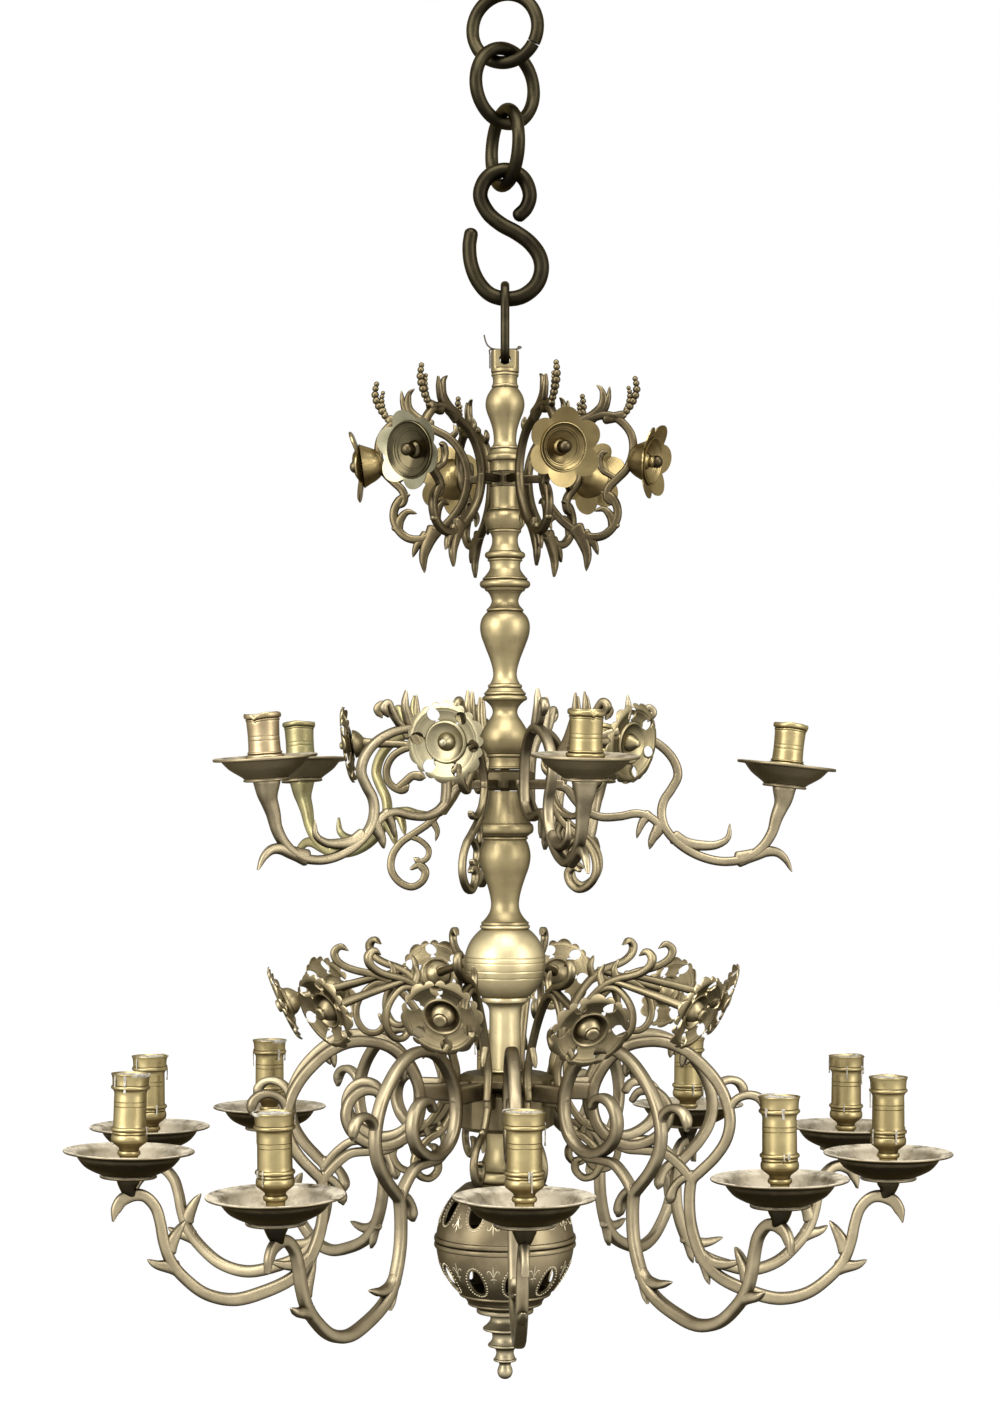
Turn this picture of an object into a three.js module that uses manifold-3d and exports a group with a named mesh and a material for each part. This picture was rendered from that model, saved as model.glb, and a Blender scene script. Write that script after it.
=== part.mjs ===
// Three-tier brass chandelier for fifteen candles, hung by round links, an S hook and a wrought loop.
// Millimetres, +Z up. The origin is the crown of the top link, where the ceiling hook bears.
// Azimuths are degrees from the front (-Y) towards the right (+X).
import * as THREE from "three";
import { mergeVertices } from "three/addons/utils/BufferGeometryUtils.js";
import Module from "manifold-3d";

const wasm = await Module();
wasm.setup();

// Fits
const SEAT_GAP = 0.3; // between two pieces that bear on each other
const ROD_CLEARANCE = 0.3; // around the tie rod in every bore

// Chain and hook
const LINK_BAR = 15; // diameter of the link's round bar
const TOP_LINK_RADIUS = 39; // bar centre line
const LINK_RADIUS = 43.15;
const TOP_LINK_TURN = -16; // how far each piece of the chain is turned about the vertical
const MIDDLE_LINK_TURN = 40;
const LOW_LINK_TURN = -69;
const LIFT = { middle: 0.75, low: 0.5, hook: 1.15, loop: 0.85 }; // room for the facets of crossed bars
const HOOK_BAR = 17.6;
const HOOK_HEIGHT = 148; // crown of the eye to the bottom of the bowl, on the centre line
const HOOK_EYE_RADIUS = 28.5;
const LOOP_BAR = 10.4; // diameter of the wrought loop's bar
const LOOP_HEIGHT = 84.65; // centre line
const LOOP_HALF_WIDTH = 22.5;
const ROUND_BAR_SIDES = 6;

// Head of the shaft
const HEAD_RADIUS = 16.1;
const HEAD_HALF_DEPTH = 11; // the head is flattened front and back
const HEAD_SLAB = 20; // height of the flattened part
const EYE_HOLE_RADIUS = 6.4;
const EYE_HOLE_DEPTH = 10.7; // hole's axis below the top of the head

// Shaft: length of each turned section
const ROD_RADIUS = 5.5;
const HEAD_LENGTH = 139.2;
const TOP_COLLAR_LENGTH = 17;
const UPPER_BALUSTER_LENGTH = 119.5;
const VASE_BALUSTER_LENGTH = 204.8;
const MIDDLE_COLLAR_LENGTH = 24;
const PEAR_BALUSTER_LENGTH = 153.6;
const BALL_BALUSTER_LENGTH = 169.6;
const LOWER_COLLAR_TOP_LENGTH = 17.9;
const LOWER_COLLAR_BASE_LENGTH = 46.8;
const LOWER_SPINDLE_LENGTH = 62.6;
const GLOBE_RADIUS = 79.4;
const GLOBE_WALL = 4;
const GLOBE_HALF_HEIGHT = 64.7; // from the equator to each flat pole
const GLOBE_LOWER_HEIGHT = 76.5;
const GLOBE_BAND_RADIUS = 81.7;
const GLOBE_BAND_HALF = 6.8;
const GLOBE_HOLES = 10;
const GLOBE_HOLE_LATITUDE = 30;
const GLOBE_HOLE_WIDTH = 20;
const GLOBE_HOLE_LENGTH = 36;
const GLOBE_HOLE_TURN = 8; // azimuth of the first hole
const FINIAL_LENGTH = 83;
const ROD_IN_HEAD = 102; // how far the tie rod runs up into the head
const ROD_IN_FINIAL = 45;

// Collars: radius of the flats that carry the tenons, and the chamfers at their ends
const TOP_COLLAR_RADIUS = 14.5;
const TOP_COLLAR_CHAMFER = { inset: 1, height: 1.5 };
const MIDDLE_COLLAR_RADIUS = 34;
const MIDDLE_COLLAR_CHAMFER = { inset: 6, height: 3 };
const LOWER_COLLAR_RADIUS = 56;
const LOWER_COLLAR_CHAMFER = { inset: 9, height: 5 };
const PLAIN_END = { inset: 0, height: 0 };

// Top tier: plain flowers
const TOP_BRANCHES = 6;
const TOP_BRANCH_START = 22;
const TOP_FLOWER = { radius: 42, reach: 152, rise: 18, nod: 8 };
const TOP_TENON = { end: 44, width: 8, height: 9 };

// Middle tier: arms and pierced flowers
const MIDDLE_START = 15; // azimuth of the first arm's seat
const MIDDLE_ARM_TURNS = [0, 0, 0, 0, 3.5]; // how far each arm stands off its even place, degrees
const MIDDLE_ARM_DROOPS = [0, 1.6, 0, 0, 0]; // each arm's sag from years of use, degrees
const MIDDLE_FLOWER_START = 51;
const MIDDLE_FLOWER = { radius: 43, reach: 168, rise: 46.5, nod: 8 };
const MIDDLE_TENON = { end: 66, width: 10, height: 11 };
const MIDDLE_TENON_DEPTH = 17; // tenon's middle below the top of the collar
const MIDDLE_PAN = { reach: 322, rim: 30, depth: 27, lean: 4.5, radius: 56.5 };
const MIDDLE_CUP = { height: 48, mouth: 19.5, bore: 15.5, bore_depth: 34 };
const MIDDLE_CONE = 56; // length of the flaring end that carries the pan

// Lower tier: arms and pierced flowers
const LOWER_START = 2.5;
const LOWER_ARM_TURNS = [0, 1.2, 0, 0, 1.1, 0, 4.3, 0, 1.5, 1.5];
const LOWER_ARM_DROOPS = [0, -0.6, 0, 0.6, 0.4, 0, 0, 0, -1.5, 1.5];
const LOWER_FLOWERS = 10;
const LOWER_FLOWER_START = 20.5;
const LOWER_FLOWER = { radius: 44, reach: 241, rise: 105, nod: 24 };
const LOWER_TENON = { end: 106, width: 12, height: 20 };
const LOWER_TENON_DEPTH = 18;
const FLOWER_TENON = { end: 68, width: 9, height: 18 };
const ROD_GRIP = { top: 4, middle: 8, lower: 5 }; // how far each tier's rods run into their flowers
const ROD_DIP = 1; // how far below a nodding rosette's middle its rod ends
const LUG_ROOT = 4; // how far a cast lug starts inside the collar's flat
const LUG_GRIP = 3; // and how far it runs into the branch's stem
const UPPER_LUG_TOP = 12; // above the tenons' middle
const LOWER_PAN = { reach: 440, rim: -58.5, depth: 30, lean: 0, radius: 70 };
const LOWER_CUP = { height: 104.5, mouth: 21.5, bore: 15.5, bore_depth: 45 };
const LOWER_CONE = 20; // length of the short cone on the hook that carries the pan
const PAN_SEAT_RADIUS = 13.6; // top of the cone that carries a pan
const LOWER_CONE_FOOT_RADIUS = 10;
const LOWER_ARM_BAR = 6.4; // half the width of a lower arm's bar in the plane of the arm
const LOWER_ARM_DEPTH = 7; // half its thickness across that plane
const MIDDLE_ARM_BAR = 5.4;
const MIDDLE_ARM_DEPTH = 5.6;
const BRANCH_BAR = 3.8; // flower branch
const BRANCH_DEPTH = 3.6;

const turn = THREE.MathUtils.degToRad;

// Solids and meshes

function solid(geometry) {
  const bare = geometry.clone();
  bare.deleteAttribute("normal");
  bare.deleteAttribute("uv");
  const merged = mergeVertices(bare, 1e-4);
  const made = new wasm.Manifold(
    new wasm.Mesh({
      numProp: 3,
      vertProperties: merged.attributes.position.array,
      triVerts: Uint32Array.from(merged.index.array),
    }),
  );
  return made;
}

function union(solids) {
  return solids.reduce((whole, piece) => whole.add(piece));
}

function geometryOf(made) {
  const mesh = made.getMesh();
  const geometry = new THREE.BufferGeometry();
  const positions = new Float32Array(mesh.vertProperties);
  geometry.setAttribute("position", new THREE.BufferAttribute(positions, 3));
  geometry.setIndex(new THREE.BufferAttribute(new Uint32Array(mesh.triVerts), 1));
  geometry.computeVertexNormals();
  return geometry;
}

function brass(color, roughness) {
  return new THREE.MeshStandardMaterial({ color, roughness, metalness: 1 });
}

const armBrass = brass(0x8f8265, 0.42);
const turnedBrass = brass(0xa3936a, 0.34);
const cupBrass = brass(0xbfa765, 0.3);
const darkBrass = brass(0x5c5137, 0.45);
const flowerBrass = brass(0x9c9069, 0.4);
const iron = new THREE.MeshStandardMaterial({ color: 0x4a443c, roughness: 0.7, metalness: 0.9 });

function named(name, geometry, material) {
  const mesh = new THREE.Mesh(geometry, material);
  mesh.name = name;
  return mesh;
}

// Forms

// A closed skin over rings of equal counts; it ends in flat caps, or meets itself when closed.
function loft(rings, closed = false) {
  const sides = rings[0].length;
  const points = rings.flat();
  const index = [];
  const spans = closed ? rings.length : rings.length - 1;
  for (let i = 0; i < spans; i++) {
    const near = i * sides;
    const far = ((i + 1) % rings.length) * sides;
    for (let k = 0; k < sides; k++) {
      const next = (k + 1) % sides;
      index.push(near + k, near + next, far + next, near + k, far + next, far + k);
    }
  }
  if (!closed) {
    const last = (rings.length - 1) * sides;
    for (let k = 1; k < sides - 1; k++) {
      index.push(0, k + 1, k);
      index.push(last, last + k, last + k + 1);
    }
  }
  const geometry = new THREE.BufferGeometry().setFromPoints(points);
  geometry.setIndex(index);
  return geometry;
}

// Value at t of a line through [place, value] pairs.
function along(pairs, t) {
  const next = pairs.findIndex(([place]) => place >= t);
  if (next <= 0) return pairs[next < 0 ? pairs.length - 1 : 0][1];
  const [t0, v0] = pairs[next - 1];
  const [t1, v1] = pairs[next];
  return v0 + ((v1 - v0) * (t - t0)) / (t1 - t0);
}

// A bar bent in the plane of its arm along a spline through [reach, rise] points. `half` is half its
// width in that plane and `depth` half its thickness across it; each is a number or [place, value]
// pairs. Four sides make a square-edged bar, more sides a round one with an edge on its inner side.
function bar(points, { half, depth = half, sides = 4, steps, closed = false }) {
  const [widths, depths] = [half, depth].map((v) => (Array.isArray(v) ? v : [[0, v]]));
  const square = sides === 4;
  const corner = square ? Math.SQRT2 : 1;
  const line = new THREE.CatmullRomCurve3(
    points.map(([reach, rise]) => new THREE.Vector3(reach, 0, rise)),
    closed,
    "centripetal",
  );
  const rings = [];
  const count = closed ? steps : steps + 1;
  for (let i = 0; i < count; i++) {
    const t = i / steps;
    const centre = line.getPoint(t);
    const heading = line.getTangent(t);
    const ring = [];
    for (let k = 0; k < sides; k++) {
      const angle = -((k + (square ? 0.5 : 0)) / sides) * 2 * Math.PI;
      const across = along(widths, t) * corner * Math.cos(angle);
      const aside = along(depths, t) * corner * Math.sin(angle);
      ring.push(
        new THREE.Vector3(centre.x - heading.z * across, aside, centre.z + heading.x * across),
      );
    }
    rings.push(ring);
  }
  return solid(loft(rings, closed));
}

// A tapering leaf tip or spur, thick at its root.
function leaf(points, root, depth, steps = 2) {
  return bar(points, { half: [[0, root], [0.6, root * 0.8], [1, root * 0.25]], depth, steps });
}

function block(x0, x1, width, z0, z1) {
  const box = new THREE.BoxGeometry(x1 - x0, width, z1 - z0);
  box.translate((x0 + x1) / 2, 0, (z0 + z1) / 2);
  return solid(box);
}

// A solid of revolution about Z from [radius, height] points; it closes on itself when bored.
function turned(profile, sides, phase = 0) {
  const points = profile.map(([radius, height]) => new THREE.Vector2(radius, height));
  if (profile[0][0] > 0) points.push(points[0].clone());
  const geometry = new THREE.LatheGeometry(points, sides);
  geometry.rotateX(Math.PI / 2);
  geometry.rotateZ(phase);
  const made = solid(geometry);
  return made.volume() > 0 ? made : solid(flipped(geometry));
}

function flipped(geometry) {
  const turnedOver = geometry.clone();
  const index = turnedOver.index.array;
  for (let i = 0; i < index.length; i += 3) [index[i + 1], index[i + 2]] = [index[i + 2], index[i + 1]];
  return turnedOver;
}

// Corner radius of a many-sided bore that the tie rod just clears.
function boreFor(sides) {
  return (ROD_RADIUS + ROD_CLEARANCE) / Math.cos(Math.PI / sides);
}

// A turned section of the shaft, hung from its top face and bored for the tie rod.
function bored(outline, length, sides = 10) {
  const bore = boreFor(sides);
  const skin = outline.map(([depth, radius]) => [radius, -depth]);
  return turned([[bore, -length], [bore, 0], ...skin], sides);
}

// A six-petalled flower about +X: a round boss, petals whose rim swings in and out, and a knob.
function flower(radius, { dish, boss, knob, reach, notch, petals = 6 }) {
  const sides = petals * 2;
  const share = (k) => (k % 2 ? notch : 1);
  const rings = [
    [() => boss, () => 0],
    [(k) => radius * share(k), (k) => dish * share(k)],
    [() => knob, () => dish * 0.3 + 4],
    [() => knob * 0.5, () => reach],
  ];
  return loft(
    rings.map(([spread, forward]) =>
      Array.from({ length: sides }, (_, k) => {
        const angle = (k / sides) * 2 * Math.PI;
        return new THREE.Vector3(
          forward(k),
          spread(k) * Math.cos(angle),
          spread(k) * Math.sin(angle),
        );
      }),
    ),
  );
}

// The flower stands at the end of its rod, nodding by `nod` degrees.
function placedFlower({ radius, reach, rise, nod }, shape) {
  const geometry = flower(radius, shape);
  geometry.rotateY(turn(nod));
  geometry.translate(reach, 0, rise);
  return solid(geometry);
}

// A tenon reaches its flat on the collar. One that stands off its even place is shorter by what
// its near corner would cut into the flat.
function tenon(collarRadius, { end, width, height }, off = 0) {
  const corner = (width / 2) * Math.sin(turn(off));
  const start = (collarRadius + SEAT_GAP + corner) / Math.cos(turn(off));
  return block(start, end, width, -height / 2, height / 2);
}

// An arm that has sagged is its drawn shape turned about the end of its tenon.
function sagged(points, root, droop) {
  const [cos, sin] = [Math.cos(turn(droop)), Math.sin(turn(droop))];
  return points.map(([reach, rise]) => {
    const out = reach - root;
    return [root + out * cos + rise * sin, rise * cos - out * sin];
  });
}

// Chain

function link(radius) {
  const ring = new THREE.TorusGeometry(radius, LINK_BAR / 2, ROUND_BAR_SIDES, 16);
  ring.rotateX(Math.PI / 2);
  return ring;
}

const topLinkCentre = -(TOP_LINK_RADIUS - LINK_BAR / 2);
const topLinkFoot = topLinkCentre - TOP_LINK_RADIUS;
const middleLinkCentre = topLinkFoot + LINK_BAR + LIFT.middle - LINK_RADIUS;
const middleLinkFoot = middleLinkCentre - LINK_RADIUS;
const lowLinkCentre = middleLinkFoot + LINK_BAR + LIFT.low - LINK_RADIUS;
const lowLinkFoot = lowLinkCentre - LINK_RADIUS;
const hookCrown = lowLinkFoot + (LINK_BAR + HOOK_BAR) / 2 + LIFT.hook;
const hookFoot = hookCrown - HOOK_HEIGHT;
const loopCrown = hookFoot + (HOOK_BAR + LOOP_BAR) / 2 + LIFT.loop;
const loopFoot = loopCrown - LOOP_HEIGHT;
const headTop = loopFoot + EYE_HOLE_DEPTH - (EYE_HOLE_RADIUS - LOOP_BAR / 2 - SEAT_GAP);

// The hook is one bar: a closed eye, a crossing and a bowl, drawn from the foot of the bowl.
function hook() {
  const eye = HOOK_HEIGHT - HOOK_EYE_RADIUS;
  const around = (angle) => [
    HOOK_EYE_RADIUS * Math.sin(turn(angle)),
    eye + HOOK_EYE_RADIUS * Math.cos(turn(angle)),
  ];
  const eyeBends = [122, 90, 45, 0, -45, -90].map(around);
  const points = [
    ...eyeBends, [-20, eye - 20], [-5, 86], [13, 76], [29, 64], [39.5, 49], [42, 33],
    [36, 16], [20, 3], [2, 0], [-17, 5], [-31, 20], [-39, 40], [-41, 60], [-39, 75],
  ];
  return bar(points, { half: HOOK_BAR / 2, sides: ROUND_BAR_SIDES, steps: 24 });
}

// The wrought loop stands in the plane across the hook, with a flat foot that crosses the head's eye.
function wroughtLoop() {
  const shoulder = LOOP_HEIGHT - LOOP_HALF_WIDTH;
  const side = LOOP_HALF_WIDTH;
  const foot = HEAD_HALF_DEPTH + 0.5;
  const points = [
    [foot, 0], [side - 3, 3.4], [side, 14], [side, shoulder - 8], [side * 0.71, LOOP_HEIGHT - 7],
    [0, LOOP_HEIGHT],
  ];
  const left = points.slice(0, -1).map(([y, z]) => [-y, z]);
  return bar([...points, ...left.reverse()], {
    half: LOOP_BAR / 2, sides: ROUND_BAR_SIDES, steps: 20, closed: true,
  });
}

// Shaft sections, as [depth below the section's top, radius]

function headBaluster() {
  const outline = [
    [0, HEAD_RADIUS], [25, HEAD_RADIUS], [28.8, 15.5], [35, 13.4], [41.4, 15.2], [50, 20], [62, 22.4],
    [80, 18], [103, 12.9], [116, 16.1], [126.5, 21], [132, 18], [HEAD_LENGTH, 17],
  ];
  const bore = boreFor(12);
  const skin = outline.map(([depth, radius]) => [radius, -depth]);
  const boreTop = -(HEAD_LENGTH - ROD_IN_HEAD - SEAT_GAP);
  const profile = [[0, 0], ...skin, [bore, -HEAD_LENGTH], [bore, boreTop], [0, boreTop]];
  const body = turned(profile, 12);
  const beyond = HEAD_RADIUS * 4;
  const above = 1;
  const slab = new THREE.BoxGeometry(beyond, beyond, HEAD_SLAB + above);
  const front = slab.clone().translate(0, -HEAD_HALF_DEPTH - beyond / 2, (above - HEAD_SLAB) / 2);
  const back = slab.clone().translate(0, HEAD_HALF_DEPTH + beyond / 2, (above - HEAD_SLAB) / 2);
  const hole = new THREE.CylinderGeometry(EYE_HOLE_RADIUS, EYE_HOLE_RADIUS, beyond, 12);
  hole.translate(0, 0, -EYE_HOLE_DEPTH);
  return body.subtract(solid(front)).subtract(solid(back)).subtract(solid(hole));
}

function upperBaluster() {
  return bored([
    [0, 17.4], [25, 17.4], [37, 23.8], [50, 18], [62, 14.8], [72, 18], [78.5, 23.3], [90, 17.6],
    [112, 29.1], [UPPER_BALUSTER_LENGTH, 22.2],
  ], UPPER_BALUSTER_LENGTH);
}

function vaseBaluster() {
  return bored([
    [0, 20], [12, 15.3], [42, 28.6], [62, 24], [96, 13.6], [110, 19.2], [123.5, 25.3], [139, 14.1],
    [171, 27.8], [190, 18.4], [VASE_BALUSTER_LENGTH, 18.4],
  ], VASE_BALUSTER_LENGTH);
}

function pearBaluster() {
  return bored([
    [0, 17.8], [18, 20], [40, 32.7], [47, 32.7], [54, 24], [74, 29.3], [94, 24.5], [111, 19.4],
    [130, 16.1], [PEAR_BALUSTER_LENGTH, 27.1],
  ], PEAR_BALUSTER_LENGTH);
}

function ballBaluster() {
  return bored([
    [0, 28.6], [12, 38.5], [28, 46], [50, 46], [68, 40], [82, 27], [88, 27], [97, 18.4],
    [BALL_BALUSTER_LENGTH, 18.4],
  ], BALL_BALUSTER_LENGTH, 12);
}

function lowerSpindle() {
  return bored([
    [0, 27], [20, 22.5], [40, 29], [47, 38], [58, 38], [LOWER_SPINDLE_LENGTH, 34],
  ], LOWER_SPINDLE_LENGTH);
}

function finial() {
  const outline = [
    [0, 32.6], [6, 32.6], [10, 17.3], [24.5, 25.3], [32, 14.7], [43.5, 19.6], [49, 10.6], [60.5, 13.3],
    [65, 6.9], [73.5, 8.6],
  ];
  const bore = boreFor(10);
  const skin = outline.map(([depth, radius]) => [radius, -depth]);
  const boreFoot = -(ROD_IN_FINIAL + SEAT_GAP);
  const profile = [[0, boreFoot], [bore, boreFoot], [bore, 0], ...skin, [0, -FINIAL_LENGTH]];
  return turned(profile, 10);
}

// A collar is a drum with one flat for each tenon, chamfered at its upper and lower end.
function collar(radius, length, flats, firstAzimuth, upper, lower = upper) {
  const corner = radius / Math.cos(Math.PI / flats);
  const phase = turn(firstAzimuth) + Math.PI / flats;
  const bore = boreFor(flats);
  return turned([
    [bore, -length], [bore, 0], [radius - upper.inset, 0], [corner, -upper.height],
    [corner, lower.height - length], [radius - lower.inset, -length],
  ], flats, phase);
}

// The globe is two pierced bowls that meet at the equator.
function globeHalf(sign) {
  const height = sign > 0 ? GLOBE_HALF_HEIGHT : GLOBE_LOWER_HEIGHT;
  const inner = GLOBE_RADIUS - GLOBE_WALL;
  const sides = GLOBE_HOLES * 2;
  const bore = boreFor(sides);
  const at = (radius, latitude) => [
    radius * Math.cos(turn(latitude)),
    radius * Math.sin(turn(latitude)),
  ];
  const pole = sign > 0 ? 46 : 32.6;
  const necking = sign > 0 ? [] : [[43.7, GLOBE_HALF_HEIGHT]];
  const profile = [
    [bore, height], [pole, height], ...necking, at(GLOBE_RADIUS, 46), at(GLOBE_RADIUS, 14),
    [GLOBE_BAND_RADIUS, GLOBE_BAND_HALF], [GLOBE_BAND_RADIUS, SEAT_GAP / 2], [inner, SEAT_GAP / 2],
    at(inner, 14), at(inner, 46), [bore, GLOBE_HALF_HEIGHT - GLOBE_WALL],
  ].map(([radius, z]) => [radius, sign * z]);
  let shell = turned(profile, sides, turn(GLOBE_HOLE_TURN));
  const oval = new THREE.CylinderGeometry(1, 1, 60, 6).rotateZ(Math.PI / 2);
  oval.scale(1, GLOBE_HOLE_WIDTH / 2, GLOBE_HOLE_LENGTH / 2).translate(GLOBE_RADIUS, 0, 0);
  oval.rotateY(turn(-sign * GLOBE_HOLE_LATITUDE));
  for (let i = 0; i < GLOBE_HOLES; i++) {
    const azimuth = GLOBE_HOLE_TURN - 90 + (360 / GLOBE_HOLES) * i;
    shell = shell.subtract(solid(oval.clone().rotateZ(turn(azimuth))));
  }
  return shell;
}

// The cone under a pan ends in a flat top, on the pan's own leaning axis.
function onPanAxis({ reach, rim, lean }, below) {
  return [reach - below * Math.sin(turn(lean)), rim - below * Math.cos(turn(lean))];
}

// An arm is drawn for one place of its pan, and stretches from the end of its tenon for another.
function fitted(points, drawn, root, pan) {
  const share = ([reach]) => (reach - drawn.root) / (drawn.reach - drawn.root);
  return points.map((point) => [
    root + share(point) * (pan.reach - root),
    point[1] + share(point) * (pan.rim - drawn.rim),
  ]);
}

// Lower arm: a scroll that winds out of the tenon, arches over, sweeps down in a deep bow and hooks
// back under its pan. Points are [distance from the shaft's axis, height above the tenon's middle].
function lowerArm(off, droop) {
  const drawn = { root: 106, reach: 440, rim: -58.5 };
  const sag = (points) => sagged(points, LOWER_TENON.end, droop);
  const fit = (points) => sag(fitted(points, drawn, LOWER_TENON.end, LOWER_PAN));
  const spine = fit([
    [150, -9], [173, 3], [192, -25], [168, -56], [128, -56], [104, -22], [118, 29], [164, 57], [213, 47],
    [249, 12], [262, -30], [245, -71], [219, -102], [217, -148], [235, -191], [283, -219], [330, -225],
    [374, -200], [397, -162], [405, -128], [428, -107], [448, -116], [456, -135],
  ]);
  const b = LOWER_ARM_BAR;
  const thin = LOWER_ARM_DEPTH * 0.8;
  const cone = sag([
    onPanAxis(LOWER_PAN, LOWER_PAN.depth + LOWER_CONE), onPanAxis(LOWER_PAN, LOWER_PAN.depth),
  ]);
  return union([
    tenon(LOWER_COLLAR_RADIUS, LOWER_TENON, off),
    bar(spine, {
      half: [[0, b * 0.5], [0.12, b], [0.93, b], [1, b * 0.35]], depth: LOWER_ARM_DEPTH, steps: 24,
    }),
    bar(fit([[128, -58], [153, -64], [182, -66], [203, -79], [220, -104]]), {
      half: b * 0.8, depth: thin, steps: 3,
    }),
    bar(cone, { half: [[0, LOWER_CONE_FOOT_RADIUS], [1, PAN_SEAT_RADIUS]], sides: 6, steps: 1 }),
    leaf(fit([[262, -34], [272, -2], [290, 0], [304, -15]]), b, thin, 3),
    leaf(fit([[224, -90], [208, -104], [195, -121]]), b, thin),
    leaf(fit([[228, -178], [250, -190], [275, -187]]), b, thin),
    leaf(fit([[230, -186], [236, -200], [238, -213]]), b, thin),
    leaf(fit([[396, -162], [386, -146], [376, -137]]), b, thin),
    leaf(fit([[388, -184], [402, -183], [416, -179]]), b, thin),
  ]);
}

// Pan with its cup, turned about the pan's own axis from the rim's height.
function lowerPan() {
  const { radius, depth } = LOWER_PAN;
  const { height, mouth, bore, bore_depth } = LOWER_CUP;
  const foot = SEAT_GAP - depth;
  const floor = -20;
  const lip = floor + height;
  return turned([
    [0, foot], [31, foot], [57, -4.5], [radius, -2], [radius, 0.4], [radius - 12, -1.5],
    [38, floor], [10, floor], [10.8, lip - 74], [20.6, lip - 65], [18.2, lip - 53], [18.2, lip - 15],
    [mouth, lip - 9], [mouth, lip], [bore, lip], [bore, lip - bore_depth], [0, lip - bore_depth],
  ], 12);
}

function middlePan() {
  const { radius, depth } = MIDDLE_PAN;
  const { height, mouth, bore, bore_depth } = MIDDLE_CUP;
  const foot = SEAT_GAP - depth;
  const base = -1;
  const lip = base + height;
  return turned([
    [0, foot], [25, foot], [43, -13], [47.5, -3], [radius, -2.2], [radius, 0.4], [45, -1], [36, -11],
    [20.8, -12], [20.8, base + 3], [17.2, base + 8], [mouth, lip - 7], [mouth, lip], [bore, lip],
    [bore, lip - bore_depth], [0, lip - bore_depth],
  ], 10);
}

// Middle arm: an arch over a double scroll, a shallow bow and a flaring end that carries the pan.
function middleArm(off, droop) {
  const drawn = { root: 66, reach: 322, rim: 30 };
  const sag = (points) => sagged(points, MIDDLE_TENON.end, droop);
  const fit = (points) => fitted(points, drawn, MIDDLE_TENON.end, MIDDLE_PAN);
  const b = MIDDLE_ARM_BAR;
  const thin = MIDDLE_ARM_DEPTH * 0.8;
  const scroll = fit([
    [93, -30], [84, -10], [89, 36], [133, 62], [178, 47], [198, 14], [183, -15], [185, -46], [224, -77],
    [277, -80], [305, -58],
  ]);
  const trumpet = [MIDDLE_CONE, 0].map((below) => onPanAxis(MIDDLE_PAN, MIDDLE_PAN.depth + below));
  const spine = sag([...scroll, ...trumpet]);
  return union([
    tenon(MIDDLE_COLLAR_RADIUS, MIDDLE_TENON, off),
    bar(spine, {
      half: [[0, b], [0.83, b], [0.92, b * 1.4], [1, PAN_SEAT_RADIUS * 0.8]],
      depth: [[0, MIDDLE_ARM_DEPTH], [0.83, MIDDLE_ARM_DEPTH], [0.92, b * 1.4], [1, PAN_SEAT_RADIUS * 0.8]],
      steps: 18,
    }),
    bar(sag(fit([[60, -1], [80, -14], [100, -33], [132, -35], [166, -34], [184, -48]])), {
      half: b * 0.85, depth: thin, steps: 4,
    }),
    leaf(sag(fit([[181, -44], [173, -55], [168, -68]])), b, thin),
    leaf(sag(fit([[200, -62], [232, -67], [255, -56], [258, -42]])), b, thin, 3),
    leaf(sag(fit([[277, -80], [305, -68], [320, -72], [330, -89]])), b, thin, 3),
    leaf(sag(fit([[132, 62], [142, 80], [138, 103]])), b, thin),
    leaf(sag(fit([[138, 62], [152, 76], [161, 90]])), b, thin),
    leaf(sag(fit([[164, -33], [157, -45], [153, -58]])), b, thin),
  ]);
}

const plainFlower = { dish: 24, boss: 12, knob: 12, reach: 21, notch: 0.8 };
const piercedFlower = { dish: 8, boss: 9, knob: 19, reach: 20, notch: 0.82 };

// Top branch: two facing scrolls with a bead spray and leaf tips above and below.
function topBranch() {
  const b = BRANCH_BAR;
  const depth = BRANCH_DEPTH;
  const thin = depth * 0.8;
  const tip = [[0, b], [0.8, b], [1, b * 0.35]];
  return union([
    tenon(TOP_COLLAR_RADIUS, TOP_TENON),
    bar([
      [119, -14], [140, 7], [148, 34], [137, 60], [110, 69], [66, 46], [45, 16], [44, -13], [60, -44],
      [86, -65], [114, -68], [129, -44], [117, -25], [104, -27],
    ], { half: tip, depth, steps: 15 }),
    bar([[124, -12], [125, -34]], { half: b * 0.8, depth: thin, steps: 1 }),
    bar([[132, 0], [111, 5], [114, 25]], { half: tip, depth: thin, steps: 3 }),
    bar([[130, 62], [147, 84], [150, 111]], { half: [[0, 3], [0.7, 4.6], [1, 2]], depth: thin, steps: 3 }),
    leaf([[106, 68], [119, 80], [113, 98]], b, thin),
    leaf([[90, -66], [105, -84], [104, -102]], b, thin),
    bar([[143, 20], [TOP_FLOWER.reach + ROD_GRIP.top, TOP_FLOWER.rise]], {
      half: [[0, 5], [1, 8]], steps: 1,
    }),
    placedFlower(TOP_FLOWER, plainFlower),
  ]);
}

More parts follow.
